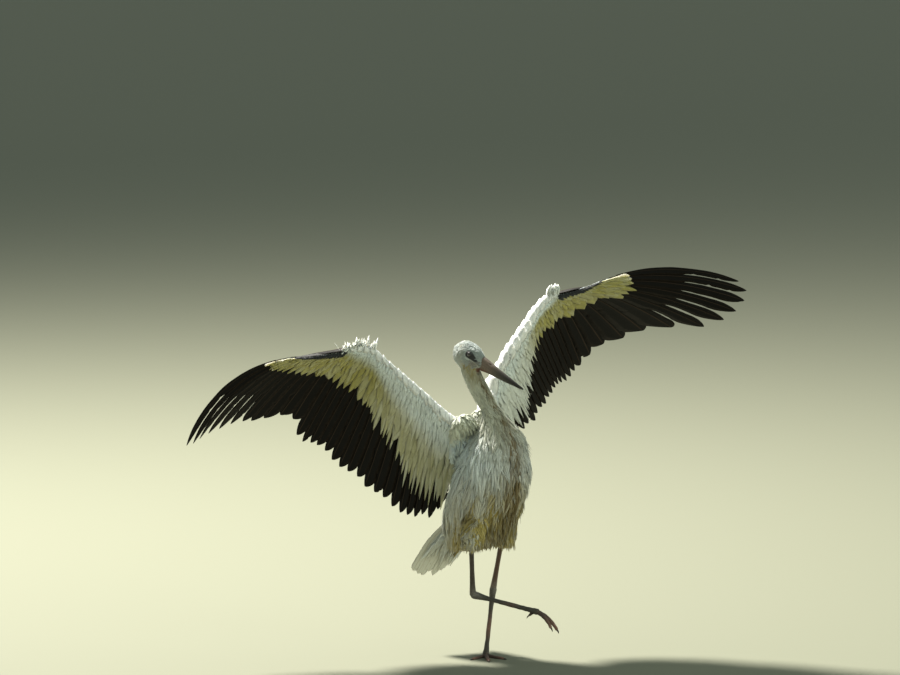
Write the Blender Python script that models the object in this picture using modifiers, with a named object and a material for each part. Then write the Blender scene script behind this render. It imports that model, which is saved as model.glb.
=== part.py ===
"""White stork, a young bird, life size, balancing on its left leg with both wings spread.

The bird faces -Y, its left side is +X and up is +Z. The origin is on the floor under the standing foot.
Every limb is a chain of named lengths and directions, and every body form is a loft along such a chain.
"""

import bpy
import bmesh
import math
import numpy as np

# ---------------------------------------------------------------- driving dimensions, in metres
GAP = 0.0004  # between neighbouring solids
VANE = 0.0016  # thickness of a flight feather's vane
FLAT = 0.0001  # depth of a loft on a side that is flat
SOLE = 0.66  # height of a toe's middle over the floor, as a share of its radius: its underside is flat there

TARSUS = 0.200
TIBIA = 0.215
STANDING_TOES = -32  # azimuth of the standing foot, in degrees
TOE_OVER_ORIGIN = 0.056  # from the tarsus to the origin, along the middle toe
BILL = 0.143
HEAD_LENGTH = 0.108
HEAD_WIDTH = 0.068
HEAD_HEIGHT = 0.084
EYE_RADIUS = 0.0085
TAIL = 0.215
TAIL_FEATHERS = 10

PRIMARIES = 10
SECONDARIES = 14
TERTIALS = 6
INNERMOST = PRIMARIES + SECONDARIES + TERTIALS - 1

COLOURS = {  # name: (red, green, blue, roughness)
    "white_plumage": (0.84, 0.83, 0.78, 0.85),
    "black_plumage": (0.020, 0.019, 0.020, 0.55),
    "bill_horn": (0.13, 0.06, 0.05, 0.45),
    "leg_skin": (0.20, 0.16, 0.14, 0.60),
    "claw_horn": (0.05, 0.04, 0.04, 0.40),
    "eye": (0.015, 0.010, 0.008, 0.08),
}


# ---------------------------------------------------------------- scene and materials
def new_collection(name):
    collection = bpy.data.collections.new(name)
    bpy.context.scene.collection.children.link(collection)
    return collection


def make_material(name):
    red, green, blue, roughness = COLOURS[name]
    material = bpy.data.materials.new(name)
    material.use_nodes = True
    shader = material.node_tree.nodes["Principled BSDF"]
    shader.inputs["Base Color"].default_value = (red, green, blue, 1)
    shader.inputs["Roughness"].default_value = roughness
    shader.inputs["Metallic"].default_value = 0
    return material


for old in list(bpy.data.objects):
    bpy.data.objects.remove(old)
STORK = new_collection("white_stork")
CUTTERS = new_collection("cutters")
MATERIALS = {name: make_material(name) for name in COLOURS}


# ---------------------------------------------------------------- directions and curves
def aim(azimuth, elevation):
    """Unit vector. Azimuth is in degrees from the bird's front, positive to its left."""
    a, e = math.radians(azimuth), math.radians(elevation)
    return np.array([math.sin(a) * math.cos(e), -math.cos(a) * math.cos(e), math.sin(e)])


def unit(vectors):
    return vectors / np.linalg.norm(vectors, axis=-1, keepdims=True)


def curve_through(keys, rows, at):
    """Smooth curve through rows of numbers at the given keys, as cubic Hermite pieces, read at each of at."""
    keys, rows, at = np.asarray(keys, float), np.asarray(rows, float), np.asarray(at, float)
    slopes = np.gradient(rows, keys, axis=0)
    i = np.clip(np.searchsorted(keys, at, side="right") - 1, 0, len(keys) - 2)
    step = (keys[i + 1] - keys[i])[..., None]
    t = (at - keys[i])[..., None] / step
    start, end = rows[i], rows[i + 1]
    rise, fall = slopes[i] * step, slopes[i + 1] * step
    return (
        (2 * t**3 - 3 * t**2 + 1) * start
        + (t**3 - 2 * t**2 + t) * rise
        + (3 * t**2 - 2 * t**3) * end
        + (t**3 - t**2) * fall
    )


def lengths_along(points):
    steps = np.linalg.norm(np.diff(points, axis=0), axis=1)
    return np.concatenate([[0], np.cumsum(steps)])


# ---------------------------------------------------------------- makers of solids
def add_object(name, points, faces, material, collection=STORK):
    mesh = bpy.data.meshes.new(name)
    mesh.from_pydata([tuple(p) for p in points], [], faces)
    mesh.materials.append(material)
    obj = bpy.data.objects.new(name, mesh)
    collection.objects.link(obj)
    body = bmesh.new()
    body.from_mesh(mesh)
    bmesh.ops.recalc_face_normals(body, faces=body.faces)
    body.to_mesh(mesh)
    body.free()
    mesh.shade_smooth()
    mesh.set_sharp_from_angle(angle=math.radians(50))
    return obj


def tube_faces(rings, sides):
    """Quads round a stack of rings, and one flat face at each end."""
    quads = [
        (r * sides + s, r * sides + (s + 1) % sides, (r + 1) * sides + (s + 1) % sides, (r + 1) * sides + s)
        for r in range(rings - 1)
        for s in range(sides)
    ]
    last = (rings - 1) * sides
    return [*quads, tuple(range(sides)), tuple(last + s for s in range(sides))]


def ring_places(length, rings, round_start, round_end):
    """Distances along a loft: even in the middle, and closing up where an end is rounded."""
    turn = 1 - np.cos(np.linspace(0, math.pi / 2, 4))
    start = turn * round_start if round_start else np.array([0.0])
    end = length - turn[::-1] * round_end if round_end else np.array([length])
    middle = np.linspace(start[-1], end[0], rings)[1:-1]
    return np.concatenate([start, middle, end])


def loft(name, rows, material, side, rings=12, sides=16, span=(0, 1), rounded=(0, 0), grow=0.0, floor=None):
    """Solid along a curve. A row is a centre and its half width, depth above and depth below.

    side points to the bird's left, across the form. span takes a share of the curve, rounded is the
    length over which each end closes like an egg, and grow thickens the solid for use as a cutter.
    """
    rows = np.asarray(rows, float)
    keys = lengths_along(rows[:, :3])
    low, high = keys[-1] * span[0], keys[-1] * span[1]
    places = low + ring_places(high - low, rings, *rounded)
    found = curve_through(keys, rows, places)
    ahead = curve_through(keys, rows, np.clip(places + 1e-4, 0, keys[-1]))[:, :3]
    behind = curve_through(keys, rows, np.clip(places - 1e-4, 0, keys[-1]))[:, :3]
    along = unit(ahead - behind)
    left = unit(np.asarray(side) - (along @ np.asarray(side))[:, None] * along)
    up = np.cross(along, left)
    closing = np.ones(len(places))
    for reach, distance in ((rounded[0], places - low), (rounded[1], high - places)):
        if reach:
            inside = np.clip(1 - distance / reach, 0, 1)
            closing *= np.maximum(np.sqrt(1 - inside**2), 0.08)
    turn = np.linspace(0, 2 * math.pi, sides, endpoint=False)
    radii = np.maximum(found[:, 3:6] * closing[:, None], FLAT) + grow
    across = np.cos(turn)[None, :] * radii[:, 0:1]
    height = np.where(np.sin(turn) > 0, radii[:, 1:2], radii[:, 2:3]) * np.sin(turn)[None, :]
    centres = found[:, :3]
    if grow:
        centres = centres.copy()
        centres[0] -= along[0] * grow
        centres[-1] += along[-1] * grow
    points = centres[:, None] + across[..., None] * left[:, None] + height[..., None] * up[:, None]
    points = points.reshape(-1, 3)
    if floor is not None and not grow:  # a cutter reaches below the sole, so that no two faces coincide
        points[:, 2] = np.maximum(points[:, 2], floor)
    collection = CUTTERS if grow else STORK
    obj = add_object(name, points, tube_faces(len(places), sides), material, collection)
    if grow:
        obj.hide_render = True
        obj.display_type = "WIRE"
    return obj


class Form:
    """A loft that is kept with its settings, so that its grown copy can cut what meets it."""

    def __init__(self, name, rows, material, side=(1, 0, 0), **settings):
        self.name, self.rows, self.side, self.settings = name, rows, side, settings
        self.solid = loft(name, rows, MATERIALS[material], side, **settings)
        self.cutter = None

    def cut_from(self, *others):
        """Takes this form, grown by the gap, out of the other solids."""
        if self.cutter is None:
            wider = {**self.settings, "grow": GAP}
            self.cutter = loft(self.name + "_cutter", self.rows, None, self.side, **wider)
        for other in others:
            solid = other.solid if isinstance(other, Form) else other
            cut = solid.modifiers.new("clear_of_" + self.name, "BOOLEAN")
            cut.operation = "DIFFERENCE"
            if self.name.startswith("toe"):  # toes meet at a slant, where the exact solver drops them
                cut.solver = "MANIFOLD"
            cut.object = self.cutter


def feather_comb(name, surface, first, last, root, split, material, rows=(3, 5), narrow=0.35):
    """Sheet of joined feathers whose tips part, as a solid.

    surface(u, v) is a point: u counts feathers, and v runs from the leading edge at 0 to the tips at 1.
    root(u) is where the sheet starts and split(u) where the slot beside a feather starts. Past it the vane
    narrows by the share narrow, then rounds off.
    """
    below, beyond = rows
    places, faces = [], []
    rounding = np.sin(np.linspace(0, math.pi / 2, beyond + 1))[1:]

    def edge(u, middle):
        """Places down one edge of a feather: straight to the slot, then drawn in to the middle."""
        start, slot = root(u), split(u)
        made = [(u, start + (slot - start) * k / below) for k in range(below + 1)]
        for t in rounding:
            half = math.sqrt(1 - t * t) * (1 - narrow * min(t * 3, 1)) + 0.08
            made.append((middle + (u - middle) * half, slot + (1 - slot) * t))
        return made

    for feather in range(first, last + 1):
        near = feather - (0.34 if feather == first else 0.5)
        far = feather + (0.46 if feather == last else 0.5)
        base, count = len(places), below + 1 + beyond
        places += edge(near, feather) + edge(far, feather)
        faces += [(base + k, base + k + 1, base + k + 1 + count, base + k + count) for k in range(count - 1)]
    places = np.array(places)
    obj = add_object(name, surface(places[:, 0], places[:, 1]), faces, MATERIALS[material])
    body = bmesh.new()
    body.from_mesh(obj.data)
    bmesh.ops.remove_doubles(body, verts=body.verts, dist=1e-5)
    body.to_mesh(obj.data)
    body.free()
    thicken = obj.modifiers.new("vane", "SOLIDIFY")
    thicken.thickness = VANE
    thicken.offset = 0
    return obj


# ---------------------------------------------------------------- trunk, neck and head
SPINE = [  # centre x, y, z, half width, depth to the back, depth to the breast
    (-0.002, 0.168, 0.321, 0.030, 0.014, 0.022),
    (0.000, 0.138, 0.366, 0.058, 0.034, 0.066),
    (0.002, 0.092, 0.426, 0.092, 0.054, 0.124),
    (0.006, 0.044, 0.491, 0.110, 0.070, 0.146),
    (0.009, 0.004, 0.556, 0.116, 0.074, 0.138),
    (0.007, -0.022, 0.613, 0.107, 0.080, 0.116),
    (0.002, -0.038, 0.661, 0.084, 0.084, 0.086),
    (-0.007, -0.040, 0.702, 0.047, 0.058, 0.052),
    (-0.014, -0.028, 0.744, 0.028, 0.031, 0.032),
    (-0.022, -0.004, 0.784, 0.027, 0.029, 0.026),
    (-0.032, 0.017, 0.822, 0.028, 0.030, 0.026),
    (-0.041, 0.032, 0.861, 0.028, 0.030, 0.026),
    (-0.045, 0.037, 0.888, 0.028, 0.030, 0.026),
]
NECK_BASE, NECK_MIDDLE = 0.59, 0.78  # shares of the spine where the trunk and the lower neck end
HEAD_MIDDLE = np.array([-0.046, 0.034, 0.901])
FACING = aim(24, -28)


def make_trunk_and_neck():
    trunk = Form(
        "trunk", SPINE, "white_plumage", rings=13, sides=22, span=(0, NECK_BASE), rounded=(0.03, 0)
    )
    part = GAP / 0.6
    lower = Form(
        "neck_lower", SPINE, "white_plumage", rings=7, span=(NECK_BASE + part, NECK_MIDDLE), sides=16
    )
    upper = Form("neck_upper", SPINE, "white_plumage", rings=6, span=(NECK_MIDDLE + part, 1), sides=16)
    return trunk, lower, upper


BILL_HALVES = (  # name, side of the gape, heights along it
    ("bill_upper", 1, (0.0175, 0.0125, 0.0066, 0.0020)),
    ("bill_lower", -1, (0.0150, 0.0115, 0.0060, 0.0020)),
)


def make_head(neck):
    """Egg-shaped head with the eyes set in it and the bill's two halves closed in front of it."""
    left = unit(np.cross(FACING, (0, 0, 1)) * -1)
    up = np.cross(FACING, left)
    shape = [  # share of the length, half width, height above, depth below, all as shares
        (-0.50, 0.30, 0.30, 0.30),
        (-0.30, 0.86, 0.84, 0.84),
        (-0.05, 1.00, 1.00, 0.98),
        (0.20, 0.84, 0.92, 0.82),
        (0.42, 0.46, 0.62, 0.50),
        (0.52, 0.30, 0.42, 0.32),
    ]
    across, high = HEAD_WIDTH / 2, HEAD_HEIGHT / 2
    rows = [
        (*(HEAD_MIDDLE + FACING * HEAD_LENGTH * s), across * w, high * u, high * d) for s, w, u, d in shape
    ]
    head = Form("head", rows, "white_plumage", side=left, rings=7, sides=16, rounded=(0.018, 0))
    head.cut_from(neck)
    base = HEAD_MIDDLE + FACING * HEAD_LENGTH * 0.52 + up * HEAD_HEIGHT * 0.07
    start = base + FACING * GAP * 2
    for name, sign, heights in BILL_HALVES:
        line = start + up * sign * (GAP / 2 + FLAT)
        rows = []
        for share, width, height in zip((0, 0.35, 0.75, 1), (0.0110, 0.0085, 0.0048, 0.0016), heights):
            depths = (height, FLAT) if sign > 0 else (FLAT, height)
            rows.append((*(line + FACING * BILL * share), width, *depths))
        Form(name, rows, "bill_horn", side=left, rings=6, sides=10, rounded=(0, 0.004))
    for name, sign in (("eye_left", 1), ("eye_right", -1)):
        place = HEAD_MIDDLE + FACING * HEAD_LENGTH * 0.10 + up * HEAD_HEIGHT * 0.17
        place = place + left * sign * (HEAD_WIDTH / 2 * 0.90 - EYE_RADIUS * 0.62)
        rows = [(*(place + left * EYE_RADIUS * s), EYE_RADIUS, EYE_RADIUS, EYE_RADIUS) for s in (-1, 0, 1)]
        eye = Form(name, rows, "eye", side=(0, 0, 1), rings=3, sides=10, rounded=(EYE_RADIUS, EYE_RADIUS))
        eye.cut_from(head)
    return head


# ---------------------------------------------------------------- tail
RUMP = np.array([0.000, 0.128, 0.388])
TAIL_AIM = aim(-167, -52)


def make_tail(trunk):
    """Ten square-ended feathers, spread a little, hanging back from the rump."""
    across = unit(np.cross(TAIL_AIM, aim(0, 0)))
    thick = np.cross(across, TAIL_AIM)

    def surface(u, v):
        turn = (u - (TAIL_FEATHERS - 1) / 2) / TAIL_FEATHERS
        reach = TAIL * v * (1 - 0.25 * turn**2)
        half = 0.046 + 0.028 * np.sin(np.minimum(v / 0.5, 1) * math.pi / 2)
        arch = -0.018 * (2 * turn) ** 2 * (0.4 + 0.6 * v)
        return RUMP + reach[:, None] * TAIL_AIM + (2 * turn * half)[:, None] * across + arch[:, None] * thick

    def root(u):
        return 0.02

    def split(u):
        return 0.88

    tail = feather_comb(
        "tail", surface, 0, TAIL_FEATHERS - 1, root, split, "white_plumage", rows=(2, 2), narrow=0.1
    )
    trunk.cut_from(tail)
    return tail


# ---------------------------------------------------------------- legs
def chain(start, *steps):
    """Joint places from a start and (length, azimuth, elevation) steps."""
    places = [np.asarray(start, float)]
    for length, azimuth, elevation in steps:
        places.append(places[-1] + length * aim(azimuth, elevation))
    return places


def between(a, b, share):
    return a + (b - a) * share


def make_toe(name, base, azimuth, lean, length, curl, radius, floor):
    """One toe in three bends, with its blunt claw. lean is its slope down at the root, curl what it gains."""
    steps = 4
    places = [np.array(base)]
    for k in range(steps):
        slope = -lean - curl * k / (steps - 1)
        places.append(places[-1] + length / steps * aim(azimuth, slope))
    thin = radius * 0.62
    radii = np.linspace(radius, thin, len(places))
    if floor is not None:
        for place, r in zip(places, radii):
            place[2] = floor + r * SOLE
    side = aim(azimuth + 90, 0)
    rows = [(*p, r, r, r) for p, r in zip(places, radii)]
    toe = Form(name, rows, "leg_skin", side=side, rings=6, sides=8, rounded=(0, 0.003), floor=floor)
    claw_length = 0.011
    tip = places[-1] + (places[-1] - places[-2]) / np.linalg.norm(places[-1] - places[-2]) * GAP
    ahead = aim(azimuth, -lean - curl - 12)
    ends = [tip, tip + ahead * claw_length * 0.5, tip + ahead * claw_length]
    claw_radii = (thin * 0.80, thin * 0.62, thin * 0.22)
    if floor is not None:
        for end, r in zip(ends, claw_radii):
            end[2] = floor + r * SOLE
    rows = [(*p, r, r, r) for p, r in zip(ends, claw_radii)]
    Form(name.replace("toe", "claw"), rows, "claw_horn", side=side, rings=4, sides=6, floor=floor)
    return toe


def make_leg(side_name, foot, ankle, knee, foot_azimuth, lean, curl, spread, floor, trunk):
    """Feathered thigh, bare shank, tarsus with its ankle knob, and four toes."""
    bare_from = between(knee, ankle, 0.29)
    thigh_rows = [
        (*between(ankle, knee, 1.24), 0.042, 0.054, 0.050),
        (*between(ankle, knee, 1.06), 0.047, 0.056, 0.054),
        (*between(ankle, knee, 0.88), 0.042, 0.047, 0.047),
        (*between(ankle, knee, 0.74), 0.029, 0.032, 0.032),
        (*bare_from, 0.0145, 0.0150, 0.0160),
    ]
    thigh = Form(f"thigh_{side_name}", thigh_rows, "white_plumage", rings=6, sides=14, rounded=(0.03, 0))
    trunk.cut_from(thigh)
    shank_start = bare_from + unit(ankle - bare_from) * GAP
    shank_rows = [
        (*shank_start, 0.0068, 0.0072, 0.0072),
        (*between(shank_start, ankle, 0.5), 0.0062, 0.0066, 0.0066),
        (*between(shank_start, ankle, 0.86), 0.0076, 0.0082, 0.0082),
        (*ankle, 0.0084, 0.0088, 0.0088),
    ]
    shank = Form(f"shank_{side_name}", shank_rows, "leg_skin", rings=5, sides=10)
    knob = ankle + unit(ankle - foot) * 0.006
    pad = foot + unit(foot - ankle) * 0.004
    tarsus_rows = [
        (*knob, 0.0092, 0.0104, 0.0104),
        (*between(ankle, foot, 0.05), 0.0096, 0.0108, 0.0108),
        (*between(ankle, foot, 0.18), 0.0068, 0.0074, 0.0074),
        (*between(ankle, foot, 0.60), 0.0056, 0.0064, 0.0064),
        (*between(ankle, foot, 0.90), 0.0064, 0.0068, 0.0068),
        (*pad, 0.0100, 0.0090, 0.0090),
    ]
    ends = (0.010, 0.004)
    tarsus = Form(
        f"tarsus_{side_name}", tarsus_rows, "leg_skin", rings=9, sides=10, rounded=ends, floor=floor
    )
    tarsus.cut_from(shank)
    outward = 1 if side_name == "left" else -1
    toes = (
        ("middle", 0, 0.076, 0.0062, lean),
        ("inner", -outward * spread, 0.060, 0.0056, lean),
        ("outer", outward * spread, 0.064, 0.0056, lean),
        ("hind", 176, 0.026, 0.0046, lean * 0.5),
    )
    made = [tarsus]
    for name, turn, length, radius, slope in toes:
        azimuth = foot_azimuth + turn
        base = foot + 0.004 * aim(azimuth, -slope)
        toe = make_toe(f"toe_{side_name}_{name}", base, azimuth, slope, length, curl, radius, floor)
        for earlier in made:
            earlier.cut_from(toe)
        made.append(toe)


def make_legs(trunk):
    foot = aim(STANDING_TOES, 0) * -TOE_OVER_ORIGIN + np.array([0, 0, 0.008])
    foot, ankle, knee = chain(foot, (TARSUS, 123, 70), (TIBIA, -13, 69))
    make_leg("left", foot, ankle, knee, STANDING_TOES, 0, 0, 45, 0.0, trunk)
    ankle = np.array([-0.062, -0.006, 0.203])
    foot = ankle + TARSUS * aim(36, -12)
    knee = ankle + TIBIA * aim(-45, 76)
    make_leg("right", foot, ankle, knee, 35, 26, 30, 22, None, trunk)


# ---------------------------------------------------------------- wings
class Wing:
    """The wing as a curved sheet. Ribs run down the feathers, from the leading edge to the tips.

    A rib row is: feather number from the outermost primary inwards, leading-edge point, tip point, how far
    the feather bows outwards, and the share of the rib that the coverts hide.
    """

    def __init__(self, side_name, ribs, camber):
        self.name = side_name
        self.camber = camber
        self.keys = [rib[0] for rib in ribs]
        self.rows = [(*rib[1], *rib[2], rib[3], rib[4]) for rib in ribs]
        self.sign = 1 if side_name == "right" else -1

    def read(self, u):
        return curve_through(self.keys, self.rows, np.clip(u, self.keys[0] - 0.1, self.keys[-1]))

    def covered(self, u):
        return float(self.read(np.array([u]))[0, 7])

    def frame(self, u):
        """Edge point, rib vector, outward direction in the sheet and the direction out of its upper side."""
        found = self.read(u)
        edge, rib = found[:, 0:3], found[:, 3:6] - found[:, 0:3]
        along = unit(rib)
        outward = unit(self.read(u - 0.05)[:, 0:3] - self.read(u + 0.05)[:, 0:3])
        outward = unit(outward - (outward * along).sum(1)[:, None] * along)
        upper = np.cross(along, outward) * self.sign
        return edge, rib, outward, upper, found[:, 6]

    def sheet(self, u, v):
        """Middle surface: the rib bowed outwards by its bow and raised by the camber."""
        edge, rib, outward, upper, bow = self.frame(u)
        arch = 4 * v * (1 - v)
        lift = self.camber * arch * (1 - v)
        return edge + rib * v[:, None] + outward * (bow * arch)[:, None] + upper * lift[:, None]

    def sleeve(self, name, first, last, thickness, material="white_plumage"):
        """Feathered arm between two feather numbers: rounded in front, thin where the coverts end."""
        halves = np.arange(math.ceil(first), math.floor(last) + 1) + 0.5
        stations = [first, *[u for u in halves if first + 0.1 < u < last - 0.1], last]
        shares = np.array([1.0, 0.60, 0.30, 0.11, 0.02, -0.03])
        swell = np.array([0.07, 0.24, 0.58, 1.0, 0.70, 0.0])
        rings = []
        for u in stations:
            hidden = self.covered(u)
            at = np.full(len(shares), float(u))
            middle = self.sheet(at, shares * hidden)
            upper = self.frame(at)[3]
            half = (swell * thickness(u) / 2)[:, None]
            half = np.maximum(half, VANE * 1.2) * (swell > 0)[:, None]
            rings.append(np.concatenate([middle + upper * half, (middle - upper * half)[-2::-1]]))
        return add_object(
            name, np.concatenate(rings), tube_faces(len(rings), len(rings[0])), MATERIALS[material]
        )


def arm_thickness(u):
    """Thickness of the feathered arm: thin at the hand, deep towards the shoulder."""
    return float(np.interp(u, [0, 9, 18, 26, INNERMOST + 1.5], [0.012, 0.026, 0.032, 0.042, 0.060]))


def slot_start(u):
    """Share of a rib at which the slots between feather tips start."""
    return float(np.interp(u, [0, 5.5, 7, 9, 10, INNERMOST], [0.56, 0.60, 0.80, 0.90, 0.93, 0.92]))


def make_wing(wing, trunk, shoulder):
    """Upper arm, forearm and hand, then the primaries, secondaries and tertials behind them."""
    wrist, elbow = PRIMARIES - 0.5, PRIMARIES + SECONDARIES - 0.5
    part = 0.02
    upper_arm = wing.sleeve(
        f"wing_{wing.name}_upper_arm", elbow + part, INNERMOST + 1.2, arm_thickness
    )
    wing.sleeve(f"wing_{wing.name}_forearm", wrist + part, elbow - part, arm_thickness)
    wing.sleeve(f"wing_{wing.name}_hand", -0.45, wrist - part, arm_thickness)

    def root(u):
        return wing.covered(u) + 0.004

    fans = (
        ("primaries", 0, PRIMARIES - 1, (2, 4), 0.25),
        ("secondaries", PRIMARIES, PRIMARIES + SECONDARIES - 1, (2, 2), 0.15),
        ("tertials", PRIMARIES + SECONDARIES, INNERMOST, (2, 2), 0.15),
    )
    for name, first, last, rows, narrow in fans:
        fan = feather_comb(
            f"wing_{wing.name}_{name}",
            wing.sheet,
            first,
            last,
            root,
            slot_start,
            "black_plumage",
            rows=rows,
            narrow=narrow,
        )
        if name == "tertials":
            trunk.cut_from(fan)
            shoulder.cut_from(fan)
    trunk.cut_from(upper_arm)
    shoulder.cut_from(upper_arm)


def make_shoulder(side_name, start, middle, end, meets):
    """Mound of loose scapular feathers over the joint of the wing, lying back along the body."""
    rows = [(*start, 0.028, 0.024, 0.026), (*middle, 0.040, 0.022, 0.034), (*end, 0.024, 0.012, 0.020)]
    mound = Form(
        f"scapulars_{side_name}", rows, "white_plumage", rings=5, sides=10, rounded=(0.022, 0.03)
    )
    mound.cut_from(*meets)
    return mound


RIGHT_RIBS = [  # feather, leading edge, tip, bow, share under the coverts
    (-0.4, (-0.489, 0.306, 0.904), (-0.702, 0.549, 0.633), 0.058, 0.20),
    (1, (-0.461, 0.284, 0.904), (-0.669, 0.548, 0.642), 0.050, 0.24),
    (3, (-0.435, 0.266, 0.907), (-0.617, 0.546, 0.668), 0.036, 0.29),
    (5, (-0.410, 0.251, 0.910), (-0.547, 0.529, 0.691), 0.026, 0.33),
    (9, (-0.356, 0.221, 0.920), (-0.440, 0.471, 0.685), 0.010, 0.37),
    (11, (-0.326, 0.204, 0.931), (-0.378, 0.441, 0.647), 0.006, 0.40),
    (13, (-0.298, 0.188, 0.928), (-0.342, 0.426, 0.625), 0.004, 0.42),
    (18, (-0.244, 0.153, 0.878), (-0.240, 0.365, 0.537), 0.000, 0.43),
    (24, (-0.160, 0.100, 0.791), (-0.134, 0.252, 0.422), 0.000, 0.62),
    (29, (-0.094, 0.057, 0.723), (-0.066, 0.155, 0.426), 0.000, 0.80),
    (31, (-0.052, 0.030, 0.690), (-0.026, 0.102, 0.492), 0.000, 0.82),
]
LEFT_RIBS = [
    (-0.4, (0.302, -0.160, 1.118), (0.615, -0.379, 1.128), 0.030, 0.20),
    (1, (0.286, -0.147, 1.108), (0.652, -0.395, 1.089), 0.028, 0.24),
    (3, (0.270, -0.134, 1.099), (0.643, -0.363, 1.022), 0.022, 0.29),
    (5, (0.251, -0.120, 1.091), (0.609, -0.260, 0.971), 0.016, 0.33),
    (7, (0.228, -0.102, 1.083), (0.517, -0.099, 0.949), 0.010, 0.36),
    (9, (0.200, -0.080, 1.074), (0.464, 0.018, 0.895), 0.006, 0.38),
    (11, (0.180, -0.068, 1.071), (0.414, 0.070, 0.831), 0.004, 0.38),
    (13, (0.163, -0.057, 1.057), (0.393, 0.099, 0.805), 0.000, 0.37),
    (18, (0.118, -0.029, 0.987), (0.349, 0.127, 0.751), 0.000, 0.40),
    (24, (0.064, 0.007, 0.884), (0.279, 0.150, 0.661), 0.000, 0.76),
    (29, (0.029, 0.028, 0.772), (0.164, 0.144, 0.600), 0.000, 0.80),
    (31, (0.016, 0.020, 0.696), (0.080, 0.086, 0.540), 0.000, 0.80),
]


# ---------------------------------------------------------------- the bird
def main():
    trunk, neck_lower, neck_upper = make_trunk_and_neck()
    make_head(neck_upper)
    make_tail(trunk)
    make_legs(trunk)
    meets = (trunk, neck_lower)
    right_shoulder = make_shoulder(
        "right", (-0.080, 0.012, 0.730), (-0.068, 0.035, 0.686), (-0.058, 0.078, 0.588), meets
    )
    left_shoulder = make_shoulder(
        "left", (0.003, 0.050, 0.742), (0.024, 0.048, 0.694), (0.046, 0.078, 0.600), meets
    )
    make_wing(Wing("right", RIGHT_RIBS, 0.030), trunk, right_shoulder)
    make_wing(Wing("left", LEFT_RIBS, 0.030), trunk, left_shoulder)


main()
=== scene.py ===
"""A young white stork, life size, standing on its left leg with the right foot lifted and both wings spread.

The bird faces -Y, its left side is +X, up is +Z, and everything is in metres. The sections follow the bird
as a modeller would dress it: the skin first, then the wings' long feathers, the small ones, legs and head.
"""

import math

import bmesh
import bpy
import numpy as np
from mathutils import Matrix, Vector


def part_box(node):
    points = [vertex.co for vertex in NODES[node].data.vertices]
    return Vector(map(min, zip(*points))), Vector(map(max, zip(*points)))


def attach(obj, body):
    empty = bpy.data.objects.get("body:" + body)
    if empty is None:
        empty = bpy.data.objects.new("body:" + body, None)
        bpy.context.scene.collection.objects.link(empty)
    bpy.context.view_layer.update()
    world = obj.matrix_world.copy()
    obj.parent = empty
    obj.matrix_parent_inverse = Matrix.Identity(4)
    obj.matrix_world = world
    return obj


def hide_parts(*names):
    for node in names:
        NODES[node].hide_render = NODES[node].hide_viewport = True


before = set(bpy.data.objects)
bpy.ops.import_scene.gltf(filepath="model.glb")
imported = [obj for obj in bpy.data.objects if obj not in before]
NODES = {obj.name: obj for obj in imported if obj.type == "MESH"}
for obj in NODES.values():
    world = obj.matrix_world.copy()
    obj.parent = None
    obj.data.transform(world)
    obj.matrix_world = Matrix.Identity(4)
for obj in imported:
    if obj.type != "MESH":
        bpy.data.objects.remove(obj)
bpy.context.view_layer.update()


# ---------------------------------------------------------------- floor, light and camera
# A plain pale studio: a level floor, a soft lamp high behind the bird on its right, a weaker one in front
# of it on its left, slightly green as if thrown up by grass, and a long lens a little above its waist.
def linear(colour):
    """sRGB hex to linear red, green and blue: ((c + 0.055) / 1.055) ** 2.4, or c / 12.92 in the dark."""
    parts = np.array([int(colour[k : k + 2], 16) / 255 for k in (1, 3, 5)])
    return np.where(parts <= 0.04045, parts / 12.92, ((parts + 0.055) / 1.055) ** 2.4)


def new_material(name, colour, roughness, **constants):
    """A Principled material with constants on its own sockets. Returns the material, its tree and shader."""
    material = bpy.data.materials.new(name)
    material.use_nodes = True
    shader = material.node_tree.nodes["Principled BSDF"]
    shader.inputs["Base Color"].default_value = (*linear(colour), 1)
    shader.inputs["Roughness"].default_value = roughness
    for socket, value in constants.items():
        shader.inputs[socket.replace("_", " ")].default_value = value
    return material, material.node_tree, shader


def mesh_piece(name, points, faces, material=None):
    """A smooth-shaded mesh object from an array of points and a list of arrays of faces."""
    mesh = bpy.data.meshes.new(name)
    points = np.ascontiguousarray(points, np.float32).reshape(-1, 3)
    mesh.vertices.add(len(points))
    mesh.vertices.foreach_set("co", points.ravel())
    if faces:
        sizes = np.concatenate([np.full(len(f), f.shape[1], np.int32) for f in faces])
        corners = np.concatenate([f.ravel() for f in faces]).astype(np.int32)
        mesh.loops.add(len(corners))
        mesh.loops.foreach_set("vertex_index", corners)
        mesh.polygons.add(len(sizes))
        mesh.polygons.foreach_set("loop_start", (np.cumsum(sizes) - sizes).astype(np.int32))
        mesh.update(calc_edges=True)
        mesh.polygons.foreach_set("use_smooth", np.ones(len(sizes), bool))
    if material is not None:
        mesh.materials.append(material)
    piece = bpy.data.objects.new(name, mesh)
    bpy.context.scene.collection.objects.link(piece)
    return piece


FLOOR_HALF = 160.0  # the floor fills the view behind the bird
studio_floor, tree, shader = new_material("painted_plaster_floor", "#7b7d6c", 0.9)
corners = FLOOR_HALF * np.array([(-1, -1, 0), (1, -1, 0), (1, 1, 0), (-1, 1, 0)])
floor = mesh_piece("studio_floor", corners, [np.array([[0, 1, 2, 3]])], studio_floor)

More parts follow.
